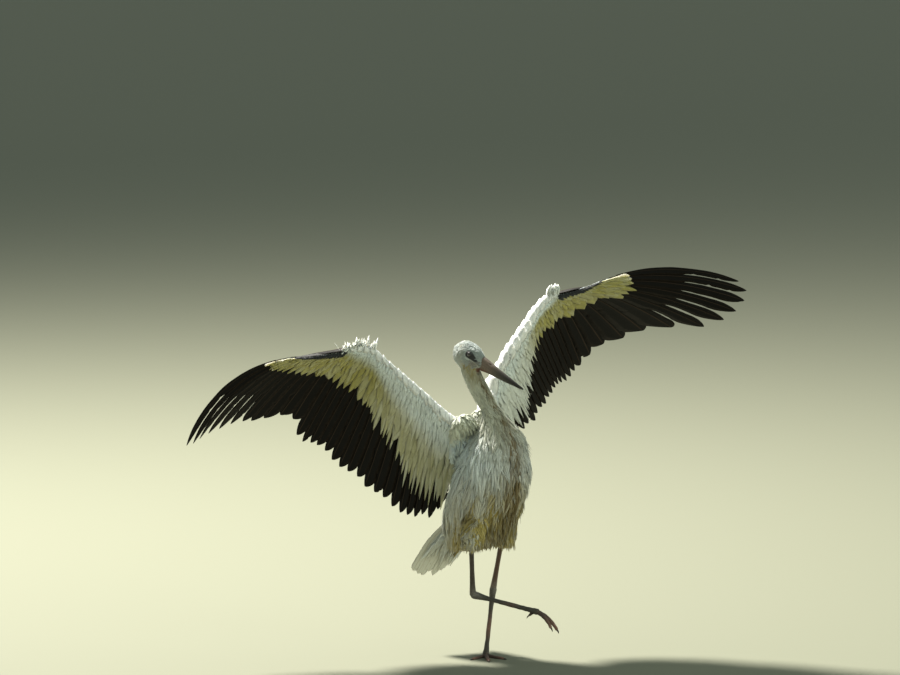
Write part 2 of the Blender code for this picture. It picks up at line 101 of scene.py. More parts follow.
VIEW_AZIMUTH, VIEW_ELEVATION = math.radians(-38), math.radians(6)
AIM = Vector((-0.027, 0.147, 0.9445))  # the middle of the view
DISTANCE, LENS = 12.0, 163.2
ahead = Vector((-math.sin(VIEW_AZIMUTH), math.cos(VIEW_AZIMUTH), 0))
view = ahead * math.cos(VIEW_ELEVATION) - Vector((0, 0, math.sin(VIEW_ELEVATION)))
lens = bpy.data.cameras.new("camera")
lens.lens, lens.sensor_width, lens.clip_end = LENS, 36, 500
camera = bpy.data.objects.new("camera", lens)
bpy.context.scene.collection.objects.link(camera)
camera.location = AIM - view * DISTANCE
camera.rotation_euler = view.to_track_quat("-Z", "Y").to_euler()
bpy.context.scene.camera = camera

LAMP_AIM = Vector((0, 0, 0.75))  # the bird's breast


def soft_lamp(name, place, size, watts, colour):
    light = bpy.data.lights.new(name, "AREA")
    light.shape, light.size, light.energy, light.color = "DISK", size, watts, linear(colour)
    lamp = bpy.data.objects.new(name, light)
    bpy.context.scene.collection.objects.link(lamp)
    lamp.location = place
    lamp.rotation_euler = (LAMP_AIM - Vector(place)).to_track_quat("-Z", "Y").to_euler()


soft_lamp("key_lamp", (-1.0, 4.9, 8.6), 1.5, 3300, "#fffaf0")
soft_lamp("front_lamp", (1.3, -5.1, 1.9), 3.0, 105, "#eef6de")
world = bpy.data.worlds.new("studio")
bpy.context.scene.world = world
world.use_nodes = True
background = world.node_tree.nodes["Background"]
background.inputs["Color"].default_value = (*linear("#d2e0d8"), 1)
background.inputs["Strength"].default_value = 0.5
bpy.context.scene.view_settings.view_transform = "Standard"


# ---------------------------------------------------------------- shape of the wings
# Each wing is carried on a curved sheet between ribs that run down its feathers. The skin of the arm, the
# coverts and the flight feathers all take their places from this sheet, at heights over or under it.
def unit(vectors):
    return vectors / np.maximum(np.linalg.norm(vectors, axis=-1, keepdims=True), 1e-9)


def curve_through(keys, rows, at):
    """Cubic Hermite curve through rows at keys, its slope at a key the mean slope round it, read at at."""
    keys, rows, at = np.asarray(keys, float), np.asarray(rows, float), np.asarray(at, float)
    slopes = np.gradient(rows, keys, axis=0)
    i = np.clip(np.searchsorted(keys, at, side="right") - 1, 0, len(keys) - 2)
    step = (keys[i + 1] - keys[i])[..., None]
    t = (at - keys[i])[..., None] / step
    return (
        (2 * t**3 - 3 * t**2 + 1) * rows[i]
        + (t**3 - 2 * t**2 + t) * slopes[i] * step
        + (3 * t**2 - 2 * t**3) * rows[i + 1]
        + (t**3 - t**2) * slopes[i + 1] * step
    )


PRIMARIES, SECONDARIES, TERTIALS = 10, 14, 6  # counted from the outermost primary inwards
WRIST, ELBOW = PRIMARIES - 0.5, PRIMARIES + SECONDARIES - 0.5
INNERMOST = PRIMARIES + SECONDARIES + TERTIALS - 1
ARM_AT, ARM_DEPTH = (0, 9, 18, 26, 30.5), (0.012, 0.026, 0.032, 0.042, 0.060)
SECTION_AT = (-0.03, 0.02, 0.11, 0.30, 0.60, 1.00)  # share of the covered part of a rib
SECTION = (0.0, 0.70, 1.0, 0.58, 0.24, 0.07)  # share of the arm's depth
CAMBER = 0.030


class Wing:
    """place(u, v, height): rib u, share v down it from the leading edge, height out of the upper side."""

    def __init__(self, name, sign, ribs):
        self.name, self.sign = name, sign
        self.keys = [rib[0] for rib in ribs]
        self.rows = [(*rib[1], *rib[2], rib[3], rib[4]) for rib in ribs]

    def read(self, u):
        return curve_through(self.keys, self.rows, np.clip(u, self.keys[0] - 0.1, self.keys[-1]))

    def covered(self, u):
        return self.read(u)[..., 7]

    def length(self, u):
        found = self.read(u)
        return np.linalg.norm(found[..., 3:6] - found[..., 0:3], axis=-1)

    def half_depth(self, u, share):
        """Half the feathered arm's thickness at a share of the covered part."""
        return np.interp(u, ARM_AT, ARM_DEPTH) / 2 * np.interp(share, SECTION_AT, SECTION)

    def place(self, u, v, height=0.0):
        """Edge + rib v + outward bow 4v(1 - v) + upper (camber 4v(1 - v)(1 - v) + height)."""
        u, v, height = np.broadcast_arrays(np.asarray(u, float), v, height)
        found = self.read(u)
        edge, rib = found[..., 0:3], found[..., 3:6] - found[..., 0:3]
        along = unit(rib)
        outward = unit(self.read(u - 0.05)[..., 0:3] - self.read(u + 0.05)[..., 0:3])
        outward = unit(outward - (outward * along).sum(-1, keepdims=True) * along)
        upper = np.cross(along, outward) * self.sign
        v = v[..., None]
        arch = 4 * v * (1 - v)
        lift = CAMBER * arch * (1 - v) + height[..., None]
        return edge + rib * v + outward * found[..., 6:7] * arch + upper * lift


RIGHT_RIBS = [  # rib, leading edge, feather tip, how far it bows outwards, share under the coverts
    (-0.4, (-0.489, 0.306, 0.904), (-0.702, 0.549, 0.633), 0.058, 0.20),
    (1, (-0.461, 0.284, 0.904), (-0.669, 0.548, 0.642), 0.050, 0.24),
    (3, (-0.435, 0.266, 0.907), (-0.617, 0.546, 0.668), 0.036, 0.29),
    (5, (-0.410, 0.251, 0.910), (-0.547, 0.529, 0.691), 0.026, 0.33),
    (9, (-0.356, 0.221, 0.920), (-0.440, 0.471, 0.685), 0.010, 0.37),
    (11, (-0.326, 0.204, 0.931), (-0.378, 0.441, 0.647), 0.006, 0.40),
    (13, (-0.298, 0.188, 0.928), (-0.342, 0.426, 0.625), 0.004, 0.42),
    (18, (-0.244, 0.153, 0.878), (-0.240, 0.365, 0.537), 0.000, 0.43),
    (24, (-0.160, 0.100, 0.791), (-0.134, 0.252, 0.422), 0.000, 0.62),
    (29, (-0.094, 0.057, 0.723), (-0.066, 0.155, 0.426), 0.000, 0.80),
    (31, (-0.052, 0.030, 0.690), (-0.026, 0.102, 0.492), 0.000, 0.82),
]
LEFT_RIBS = [
    (-0.4, (0.302, -0.160, 1.118), (0.615, -0.379, 1.128), 0.030, 0.20),
    (1, (0.286, -0.147, 1.108), (0.652, -0.395, 1.089), 0.028, 0.24),
    (3, (0.270, -0.134, 1.099), (0.643, -0.363, 1.022), 0.022, 0.29),
    (5, (0.251, -0.120, 1.091), (0.609, -0.260, 0.971), 0.016, 0.33),
    (7, (0.228, -0.102, 1.083), (0.517, -0.099, 0.949), 0.010, 0.36),
    (9, (0.200, -0.080, 1.074), (0.464, 0.018, 0.895), 0.006, 0.38),
    (11, (0.180, -0.068, 1.071), (0.414, 0.070, 0.831), 0.004, 0.38),
    (13, (0.163, -0.057, 1.057), (0.393, 0.099, 0.805), 0.000, 0.37),
    (18, (0.118, -0.029, 0.987), (0.349, 0.127, 0.751), 0.000, 0.40),
    (24, (0.064, 0.007, 0.884), (0.279, 0.150, 0.661), 0.000, 0.76),
    (29, (0.029, 0.028, 0.772), (0.164, 0.144, 0.600), 0.000, 0.80),
    (31, (0.016, 0.020, 0.696), (0.080, 0.086, 0.540), 0.000, 0.80),
]
LAST_RIB = RIGHT_RIBS[-1][0]  # past the innermost tertial, on the body
WINGS = (Wing("right", 1, RIGHT_RIBS), Wing("left", -1, LEFT_RIBS))


# ---------------------------------------------------------------- skin
# One thin skin covers the trunk, neck, head, wing arms and legs. It is bare and dark round the eyes and
# scaly on the legs; elsewhere it lies under the plumage, by about the depth of the coat.
def aim(azimuth, elevation):
    """Unit vector. Azimuth is in degrees from the bird's front, positive to its left."""
    a, e = math.radians(azimuth), math.radians(elevation)
    return np.array([math.sin(a) * math.cos(e), -math.cos(a) * math.cos(e), math.sin(e)])


HEAD_MIDDLE, HEAD_LENGTH = np.array([-0.046, 0.034, 0.901]), 0.108
FACING = aim(24, -28)
HEAD_LEFT = -unit(np.cross(FACING, (0, 0, 1.0)))
HEAD_UP = np.cross(FACING, HEAD_LEFT)
HEAD_AXES = np.stack([FACING, HEAD_UP, HEAD_LEFT])
EYE_AT = np.array([0.0108, 0.0143])  # ahead of and above the head's middle, as the next two
GAPE_AT, GULAR_AT = np.array([0.0530, -0.0010]), np.array([0.050, -0.016])
SPINE = np.array([  # the middle of the body from bill to rump
    (0.000, -0.012, 0.880), (-0.028, 0.006, 0.893), (-0.050, 0.040, 0.904), (-0.045, 0.040, 0.885),
    (-0.041, 0.032, 0.861), (-0.032, 0.017, 0.822), (-0.022, -0.004, 0.784), (-0.014, -0.028, 0.744),
    (-0.007, -0.040, 0.702), (0.002, -0.038, 0.661), (0.007, -0.022, 0.613), (0.009, 0.004, 0.556),
    (0.006, 0.044, 0.491), (0.002, 0.092, 0.426), (0.000, 0.138, 0.366), (-0.002, 0.168, 0.321),
])


def body_map(places):
    """Unwrap of the body: the turn round the spine, half at the front, and the share of the way down it."""
    step = SPINE[1:] - SPINE[:-1]
    sizes = np.linalg.norm(step, axis=1)
    off = places[:, None] - SPINE[:-1]
    share = np.clip((off * step).sum(-1) / sizes**2, 0, 1)
    gap = np.linalg.norm(off - share[..., None] * step, axis=-1)
    k, rows = gap.argmin(1), np.arange(len(places))
    down = (np.concatenate([[0], np.cumsum(sizes)])[k] + share[rows, k] * sizes[k]) / sizes.sum()
    away = off[rows, k] - share[rows, k, None] * step[k]
    along = unit(step[k])
    front = unit(np.cross(along, (1.0, 0.0, 0.0)))
    left = np.cross(front, along)
    turn = np.arctan2((away * left).sum(1), (away * front).sum(1)) / (2 * math.pi) + 0.5
    return np.stack([turn, down], -1)


def ease(low, high, value):
    """Smooth step: s s (3 - 2 s) with s running from 0 at low to 1 at high."""
    s = np.clip((value - low) / (high - low), 0, 1)
    return s * s * (3 - 2 * s)


def bell(value, middle, width, power=2):
    """1 at the middle and falling off each way: exp(-((value - middle) / width) ** power)."""
    return np.exp(-(((value - middle) / width) ** power))


def distance(places, spot):
    return np.linalg.norm(places - spot, axis=1)


def blended(one, other, share):
    """From one to the other by a share from 0 to 1."""
    return one * (1 - share) + other * share


def head_parts(places):
    """Metres ahead of the head's middle, above it and to its left."""
    return HEAD_AXES @ (places - HEAD_MIDDLE).T


def near_line(places, start, end, wide, narrow):
    """1 within 0.85 of the half width of a line over the side of the head, 0 beyond 1.15 of it.

    The line and its half widths are given in metres ahead of and above the head's middle.
    """
    ahead, over, left = head_parts(places)
    step = np.subtract(end, start)
    share = np.clip(((ahead - start[0]) * step[0] + (over - start[1]) * step[1]) / (step @ step), 0, 1)
    gap = np.hypot(ahead - start[0] - share * step[0], over - start[1] - share * step[1])
    radius = wide + (narrow - wide) * share
    off_middle = np.clip(np.abs(left) / 0.006 - 1, 0, 1)  # none on the ridge of the head
    near = distance(places, HEAD_MIDDLE) < 0.075  # on the head only
    return np.clip((1.15 * radius - gap) / (0.3 * radius), 0, 1) * off_middle * near


def eye_share(places):
    """1 on the dark bare skin round the eye, which is drawn out ahead of it."""
    return near_line(places, EYE_AT - (0.001, 0), EYE_AT + (0.023, -0.0065), 0.0104, 0.0062)


def bare_share(places):
    """1 on all the bare skin of the face: round the eye, and the paler lores down to the gape."""
    return np.maximum(eye_share(places), near_line(places, EYE_AT + (0.014, -0.004), GAPE_AT, 0.0072, 0.0058))


def gular_share(places):
    """1 on the small bare pouch under the base of the bill."""
    under = HEAD_MIDDLE + FACING * GULAR_AT[0] + HEAD_UP * GULAR_AT[1]
    return ease(0.015, 0.010, distance(places, under))


# The blue-white is painted sky light, laid over the upper body and back.
SNOW, SKY_BLUE_LIGHT, HEAD_GREY = linear("#e6eae6"), linear("#d6e4e8"), linear("#a4ada8")
# The yellow-brown of the underparts is partly soiling and partly painted shade, tinted green as by grass
# light.
GREY_NECK, LINE, THROAT, STAIN_AND_SHADE = linear("#bfbb92"), linear("#715d2e"), linear("#998638"), linear("#b39d42")
EYE_SKIN, LORES, CHEEK, GULAR = linear("#1b1c1f"), linear("#6f706c"), linear("#8b7c6a"), linear("#5e3a2d")


def box_middle(node):
    low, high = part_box(node)
    return np.array((low + high) / 2)


def meeting(one, other):
    """Middle of the space that the boxes of two touching nodes share."""
    (low_a, high_a), (low_b, high_b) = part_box(one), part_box(other)
    return (np.maximum(low_a, low_b) + np.minimum(high_a, high_b)) / 2


RAISED_KNEE = meeting("thigh_right", "shank_right")


def markings(places, mark_share=1.0):
    """Colours of skin and coat: white, a greyer neck, a brown line down the front and soiled underparts.

    The white is tinted blue over the upper body and back as painted sky light, and the underparts'
    colour is partly painted shade, tinted green as by light from grass.
    """
    turn, down = body_map(places).T
    neck = ease(0.08, 0.16, down) * ease(0.50, 0.36, down)
    height = places[:, 2]
    front = bell(turn, 0.5, 0.05) * ease(0.14, 0.22, down) * ease(1.05, 0.75, down)
    throat = bell(turn, 0.43, 0.15) * bell(down, 0.145, 0.04)
    # The underparts' colour, partly soiling and partly painted shade, deepens towards the bottom.
    belly = np.clip(ease(0.62, 0.47, height) * bell(turn, 0.47, 0.17) + 0.4 * ease(0.50, 0.38, height), 0, 1)
    belly = belly * (1 - 0.75 * bell(distance(places, RAISED_KNEE), 0, 0.055))
    ahead, over, _ = head_parts(places)
    cheek = bell(ahead, 0.034, 0.016) * bell(over, -0.004, 0.010) * (down < 0.12)
    # Painted sky light: the upper body is tinted blue, most at the back.
    sky_tint = ease(0.50, 0.62, height) * (0.5 - 0.5 * np.cos((turn - 0.56) * 2 * math.pi))
    colour = blended(SNOW, SKY_BLUE_LIGHT, sky_tint[:, None])
    layers = (
        # The head is a greyer white than the body.
        (ease(0.14, 0.09, down) * 0.8, HEAD_GREY),
        (neck * 0.6, GREY_NECK),
        (np.clip(belly * 0.95 * mark_share, 0, 0.95), STAIN_AND_SHADE),
        (np.clip(front * 0.74 * mark_share, 0, 0.95), LINE),
        (cheek * 0.7, CHEEK),
        (np.clip(throat * 0.9 * mark_share, 0, 0.95), THROAT),
        (bare_share(places), LORES),
        (eye_share(places), EYE_SKIN),
        (gular_share(places), GULAR),
    )
    for share, tint in layers:
        colour = blended(colour, tint, share[:, None])
    return colour


def vertex_places(mesh):
    """Places of the vertices, one a row."""
    places = np.empty(len(mesh.vertices) * 3)
    mesh.vertices.foreach_get("co", places)
    return places.reshape(-1, 3)


def corner_numbers(mesh):
    """The vertex number of every face corner."""
    corners = np.empty(len(mesh.loops), np.int32)
    mesh.loops.foreach_get("vertex_index", corners)
    return corners


def merged_copy(name, nodes, grow=0.0):
    """One new object from copies of these nodes, with their loose triangles joined."""
    points, faces, start = [], [], 0
    for node in nodes:
        mesh = NODES[node].data
        places = vertex_places(mesh)
        _, first, index = np.unique(np.round(places, 5), axis=0, return_index=True, return_inverse=True)
        triangles = index.reshape(-1)[corner_numbers(mesh)].reshape(-1, 3)
        a, b, c = triangles.T
        triangles = triangles[(a != b) & (b != c) & (a != c)]
        places = places[first]
        a, b, c = (places[triangles[:, k]] for k in range(3))
        across, normals = np.cross(b - a, c - a), np.zeros_like(places)
        for k in range(3):
            np.add.at(normals, triangles[:, k], across)
        points.append(places + unit(normals) * grow)
        faces.append(triangles + start)
        start += len(places)
    return mesh_piece(name, np.concatenate(points), [np.concatenate(faces)])


def evaluated(piece):
    return piece.evaluated_get(bpy.context.evaluated_depsgraph_get())


def add_smooth(piece, name, times):
    smooth = piece.modifiers.new(name, "SMOOTH")
    smooth.factor, smooth.iterations = 0.5, times


def remeshed(piece, voxel, smoothing):
    """The piece as one closed surface of even quads, with its creases smoothed."""
    remesh = piece.modifiers.new("remesh", "REMESH")
    remesh.mode, remesh.voxel_size = "VOXEL", voxel
    add_smooth(piece, "smooth", smoothing)
    mesh = bpy.data.meshes.new_from_object(evaluated(piece))
    piece.modifiers.clear()
    old, piece.data = piece.data, mesh
    bpy.data.meshes.remove(old)
    mesh.polygons.foreach_set("use_smooth", np.ones(len(mesh.polygons), bool))
    return piece


def mesh_arrays(piece):
    """Places and normals of the vertices, as arrays."""
    mesh = piece.data
    normals = np.empty(len(mesh.vertices) * 3)
    mesh.vertex_normals.foreach_get("vector", normals)
    return vertex_places(mesh), normals.reshape(-1, 3)


def set_places(piece, places):
    piece.data.vertices.foreach_set("co", np.ascontiguousarray(places, np.float32).ravel())
    piece.data.update()


def settled(places, target):
    """Nearest places on the target's surface and its smooth normals there, found by a Shrinkwrap."""
    probe = mesh_piece("probe", places, [])
    wrap = probe.modifiers.new("wrap", "SHRINKWRAP")
    wrap.target, wrap.wrap_method = target, "NEAREST_SURFACEPOINT"
    found = []
    for mode, offset in (("ON_SURFACE", 0.0), ("ABOVE_SURFACE", 0.002)):
        wrap.wrap_mode, wrap.offset = mode, offset
        found.append(vertex_places(evaluated(probe).data))
    bpy.data.objects.remove(probe)
    return found[0], unit(found[1] - found[0])


def joined(name, pieces):
    """One object from several."""
    with bpy.context.temp_override(active_object=pieces[0], selected_editable_objects=pieces):
        bpy.ops.object.join()
    pieces[0].name = name
    return pieces[0]


def grid_quads(rings, sides):
    """Quads between neighbouring rings of points, each ring closed."""
    r, s = np.meshgrid(np.arange(rings - 1), np.arange(sides), indexing="ij")
    a, b = r * sides + s, r * sides + (s + 1) % sides
    return np.stack([a, b, b + sides, a + sides], -1).reshape(-1, 4)


def turned_out(piece):
    """The piece with its doubles merged and its faces turned outwards."""
    body = bmesh.new()
    body.from_mesh(piece.data)
    bmesh.ops.remove_doubles(body, verts=body.verts, dist=1e-6)
    bmesh.ops.recalc_face_normals(body, faces=body.faces)
    body.to_mesh(piece.data)
    body.free()
    return piece


def closed_tube(name, grid, material=None, colour=None):
    """A tube through rings of points, its ends drawn together at their middles. colour has a row a point."""
    ends = [np.repeat(grid[k].mean(0)[None], grid.shape[1], 0) for k in (0, -1)]
    full = np.concatenate([ends[0][None], grid, ends[1][None]])
    piece = mesh_piece(name, full, [grid_quads(len(full), grid.shape[1])], material)
    if colour is not None:
        dress(piece, np.concatenate([colour[:1], colour, colour[-1:]]))
    return turned_out(piece)


def dress(piece, colour=None, vane=None, bake=None):
    """Per-point colour and vane attributes, and the OFBake map, from arrays with one row a vertex."""
    mesh = piece.data
    if colour is not None:
        rgba = np.ones((len(mesh.vertices), 4), np.float32)
        rgba[:, :3] = colour.reshape(-1, 3)
        mesh.attributes.new("plumage", "FLOAT_COLOR", "POINT").data.foreach_set("color", rgba.ravel())
    if vane is not None:
        rows = np.ascontiguousarray(vane.reshape(-1, 3), np.float32)
        mesh.attributes.new("vane", "FLOAT_VECTOR", "POINT").data.foreach_set("vector", rows.ravel())
    if bake is not None:
        spots = np.ascontiguousarray(bake.reshape(-1, 2)[corner_numbers(mesh)], np.float32)
        mesh.uv_layers.new(name="OFBake").uv.foreach_set("vector", spots.ravel())


COAT = {  # node: coat depth, feather length, width, spacing of the roots, share of it that is in locks
    "trunk": (0.0125, 0.056, 0.0085, 0.0060, 1.0),
    "neck_lower": (0.0070, 0.036, 0.0052, 0.0044, 0.9),
    "neck_upper": (0.0036, 0.024, 0.0036, 0.0031, 0.7),
    "head": (0.0022, 0.0095, 0.0024, 0.0021, 1.0),
    "scapulars_left": (0.0024, 0.032, 0.0100, 0.0042, 0.0),
    "scapulars_right": (0.0024, 0.032, 0.0100, 0.0042, 0.0),
    "thigh_left": (0.0090, 0.046, 0.0080, 0.0058, 1.0),
    "thigh_right": (0.0090, 0.046, 0.0080, 0.0058, 1.0),
}
form_of = {node: merged_copy("form_" + node, [node]) for node in COAT}


def weighted(places, forms, values):
    """The forms' values at each place, each weighted by 1 / (distance to its surface + 4 mm) cubed."""
    total, weight = 0, 0
    for node, value in values.items():
        off = np.linalg.norm(settled(places, forms[node])[0] - places, axis=1, keepdims=True)
        near = 1 / (off + 0.004) ** 3
        total, weight = total + near * np.array(value), weight + near
    return total / weight


def coat_at(places):
    return weighted(places, form_of, COAT)


BODY_NODES = list(COAT)
ARM_NODES = [f"wing_{wing.name}_{part}" for wing in WINGS for part in ("upper_arm", "forearm", "hand")]
GROWN = 0.0012  # touching nodes are grown by this so that they join, and the skin is sunk by as much again
CLEAR = 0.004  # a pressed thigh ends up this far inside the trunk's surface
body_form = remeshed(merged_copy("body_form", BODY_NODES, grow=GROWN), voxel=0.005, smoothing=6)
places, normals = mesh_arrays(body_form)
inside = places - normals * (coat_at(places)[:, :1] + GROWN)
# The thighs are pressed in towards the trunk, except low down, where the raised knee shows as a mound. Then
# they are smoothed into the belly.
flat, up = settled(inside, form_of["trunk"])
proud = ((inside - flat) * up).sum(-1, keepdims=True)
level = inside[:, 2:3]
inside = inside - up * np.maximum(proud + CLEAR, 0) * ease(0.36, 0.41, level) * ease(0.60, 0.56, level)
set_places(body_form, inside)
add_smooth(body_form, "melt", 60)
melted = vertex_places(evaluated(body_form).data)
body_form.modifiers.clear()
low_down = ease(0.62, 0.54, places[:, 2:3]) * ease(0.32, 0.37, places[:, 2:3])
set_places(body_form, blended(inside, melted, low_down))


def arm_form(wing):
    """The arm under its feathers: rings over shares -0.008 to 0.60, at 0.6 of the feathered depth or less.

    The depth has no value at a ring's foremost point, where its share is below 0. After the voxel remesh
    the skin is closed there.
    """
    u = np.linspace(-0.2, INNERMOST + 1.4, 46)[:, None]
    around = np.linspace(0, 2 * math.pi, 18, endpoint=False)[None, :]
    share = -0.008 + 0.608 * (1 - np.cos(around)) / 2
    depth = wing.half_depth(u, np.minimum(share, 0.11)) * 0.6 * (1 - 0.7 * (share / 0.6) ** 1.5)
    return closed_tube("arm_form", wing.place(u, share * wing.covered(u), np.sin(around) * depth))


body_shell = body_form.copy()
body_shell.data = body_form.data.copy()
bpy.context.scene.collection.objects.link(body_shell)
body_shell = remeshed(joined("body_shell", [body_shell, *map(arm_form, WINGS)]), voxel=0.0045, smoothing=3)

# The head's part of the skin is finer: pressed in under the eyeballs, hollow at the lores, and 1.7 mm
# inside the solids where feathers cover it.
EYE_RADIUS, EYE_OUT = 0.0083, 0.0253  # EYE_OUT is from the head's middle plane to the eyeball's middle
head_shell = merged_copy("head_shell", ["head", "eye_left", "eye_right"], grow=0.0003)
head_shell = remeshed(head_shell, voxel=0.0017, smoothing=5)
places, normals = mesh_arrays(head_shell)
bare = np.maximum(bare_share(places), gular_share(places))
places = places - normals * (0.0020 - 0.0014 * bare)[:, None]
ahead, over, left = head_parts(places)
from_eye = np.hypot(ahead - EYE_AT[0], over - EYE_AT[1])
side = np.sign(left)
pressed = np.minimum(np.abs(left), EYE_OUT + 0.0030 + 0.02 * ease(0.010, 0.013, from_eye))
hollow = 0.0014 * bell(ahead, 0.034, 0.010) * bell(over, 0.008, 0.006) * (from_eye > 0.012)
left = side * np.where(np.abs(left) > 0.012, pressed - hollow, np.abs(left))
set_places(head_shell, HEAD_MIDDLE + np.stack([ahead, over, left], -1) @ HEAD_AXES)

MM = 0.001
LID_OUT = MM * np.array([-0.5, 0, 0.25, 0.6, 0.9, 1.3, 1.8, 2.3, 2.9, 3.6, 4.4, 4.3, 3.4, 2.3, 1.1, 0.2])
LID_LIFT = MM * np.array([
    -0.3, 0.2, 0.65, 0.85, 0.75, 0.5, 0.45, 0.2, 0.15, 0, -0.4, -1.1, -1.2, -1.2, -1.1, -0.9,
])  # fmt: skip


def eyelids(sign):
    """A ring of skin round the eyeball: a thick rim on its surface, two folds, then down to the cheek.

    The opening is an ellipse, longer ahead. LID_OUT is the distance out from it and LID_LIFT the height
    over a blend from the eyeball, sqrt(r r - d d), to the head's skin.
    """
    turn = np.linspace(0, 2 * math.pi, 72, endpoint=False)[:, None]
    opening = 0.0058 * (1 - 0.10 * np.abs(np.sin(turn))) + 0.0007 * np.abs(np.cos(turn)) ** 7
    out = opening + LID_OUT[None, :]
    ahead, over = EYE_AT[0] + out * np.cos(turn), EYE_AT[1] + out * np.sin(turn)
    ball = np.sqrt(np.maximum(EYE_RADIUS**2 - out**2, 0)) + EYE_OUT
    outside = np.broadcast_to(sign * 0.034, ahead.shape)  # clear of the cheek, to be settled on it
    probe = np.stack([ahead, over, outside], -1).reshape(-1, 3) @ HEAD_AXES
    flat = settled(probe + HEAD_MIDDLE, head_shell)[0]
    cheek = np.abs((flat - HEAD_MIDDLE) @ HEAD_LEFT).reshape(ahead.shape)
    blend = ease(0.0002, 0.0040, LID_OUT)[None, :]
    wrinkle = 0.00012 * np.sin(turn * 21 + out * 900) * ease(0.0005, 0.0020, LID_OUT)[None, :]
    lateral = blended(ball, cheek + 0.0003, blend) + LID_LIFT[None, :] + wrinkle
    grid = HEAD_MIDDLE + np.stack([ahead, over, sign * lateral], -1) @ HEAD_AXES
    turns, rings = ahead.shape
    return turned_out(mesh_piece("eyelids", grid, [grid_quads(turns + 1, rings) % ahead.size]))


lids = [eyelids(sign) for sign in (1, -1)]

# Legs: the horny scales lie straight on the bone, so this part of the skin isn't sunk. The toes have
# soft pads under their joints.
LEG_NODES = [node for node in NODES if node.startswith(("shank_", "tarsus_", "toe_"))]
LEG_TINT = {
    **dict.fromkeys(LEG_NODES, linear("#544238")),
    "shank_left": linear("#5d4434"),
    "shank_right": linear("#443a33"),
    "tarsus_left": linear("#4c463d"),
    "tarsus_right": linear("#45413a"),
}
ANKLE_GREY, TOE_PINK = linear("#948f86"), linear("#a37563")
KNUCKLES_ROUND, KNUCKLE_SPACING = (0.02, -0.08, 0.15), 0.0135  # rings on the toes, round a point over them
leg_form_of = {node: merged_copy("form_" + node, [node]) for node in LEG_NODES}
leg_shell = remeshed(merged_copy("leg_shell", LEG_NODES, grow=0.0002), voxel=0.0014, smoothing=2)
places, normals = mesh_arrays(leg_shell)
leg_colour = weighted(places, leg_form_of, LEG_TINT)
level = places[:, 2]
feet = ease(0.20, 0.17, level)  # 1 on both feet, 0 above them
swollen = 0.0005 + 0.0003 * feet
for node in ("left", "right"):
    from_ankle = distance(places, meeting("shank_" + node, "tarsus_" + node))
    leg_colour = blended(leg_colour, ANKLE_GREY, 0.5 * bell(from_ankle, 0, 0.02)[:, None])
    from_hub = distance(places, box_middle(f"toe_{node}_hind"))
    from_toes = distance(places, box_middle(f"toe_{node}_middle"))
    pink = 0.55 * ease(0.035, 0.085, from_hub) * ease(0.20, 0.16, level) * ease(0.16, 0.10, from_toes)
    leg_colour = blended(leg_colour, TOE_PINK, pink[:, None])
    swollen = swollen + 0.0017 * bell(from_ankle, 0, 0.016)
swollen = np.minimum(swollen, np.maximum(level - 0.001, 0))  # the soles stay on the floor
knuckle = 0.00035 * np.sin(distance(places, KNUCKLES_ROUND) * 2 * math.pi / KNUCKLE_SPACING)
on_toes = feet * (level > 0.006)
set_places(leg_shell, places + normals * (swollen + knuckle * on_toes)[:, None])
dress(leg_shell, leg_colour)


def wire(tree, node, links):
    """Links inputs, by name or number, to the sockets given, or to the first outputs of the nodes given."""
    for name, source in links.items():
        tree.links.new(source.outputs[0] if hasattr(source, "outputs") else source, node.inputs[name])


def add_node(tree, kind, settings=None, links=None, **values):
    """One shader node: attributes from settings, links by wire, values by the inputs' names or _numbers."""
    made = tree.nodes.new("ShaderNode" + kind)
    for name, value in (settings or {}).items():
        setattr(made, name, value)
    for name, value in values.items():
        made.inputs[int(name[1:]) if name[1:].isdigit() else name.replace("_", " ")].default_value = value
    wire(tree, made, links or {})
    return made


# Thin skin is matt, so it takes the light softly; its fine wrinkles break the tone where it is bare.
thin_skin, tree, shader = new_material("thin_bird_skin", "#cfc8bb", 0.62)
tint = add_node(tree, "Attribute", {"attribute_name": "plumage"})
where = {"Vector": add_node(tree, "TexCoord").outputs["Object"]}
wrinkles = add_node(tree, "TexNoise", {}, where, Scale=900.0, Detail=3.0)
vary = add_node(tree, "MapRange", {}, {"Value": wrinkles}, To_Min=0.75, To_Max=1.2)
mixed = add_node(tree, "VectorMath", {"operation": "SCALE"}, {0: tint, "Scale": vary})
bump = add_node(tree, "Bump", {}, {"Height": wrinkles}, Strength=0.5, Distance=0.0004)
wire(tree, shader, {"Base Color": mixed, "Normal": bump})

# The legs' skin is horn scales with grooves between them, which give it a dusty, dull and grainy look.
# The grooves are darkened, painted shade.
SCALE_SIZE = 0.0034
scaled_skin, tree, shader = new_material("scaled_leg_skin", "#4c463d", 0.55)
tint = add_node(tree, "Attribute", {"attribute_name": "plumage"})
where = {"Vector": add_node(tree, "TexCoord").outputs["Object"]}
groove = add_node(tree, "TexVoronoi", {"feature": "DISTANCE_TO_EDGE"}, where, Scale=1 / SCALE_SIZE)
dome = add_node(tree, "MapRange", {"interpolation_type": "SMOOTHSTEP"}, {"Value": groove}, From_Max=0.16)
cell = add_node(tree, "TexVoronoi", {"feature": "F1"}, where, Scale=1 / SCALE_SIZE)
cell_tone = add_node(tree, "SeparateColor", {}, {"Color": cell.outputs["Color"]})
dust = add_node(tree, "TexNoise", {}, where, Scale=140.0, Detail=4.0)
tone = add_node(tree, "Math", {"operation": "MULTIPLY_ADD"}, {0: cell_tone}, _1=0.35, _2=0.75)
tone = add_node(tree, "Math", {"operation": "MULTIPLY_ADD"}, {0: dust, 2: tone}, _1=0.3)
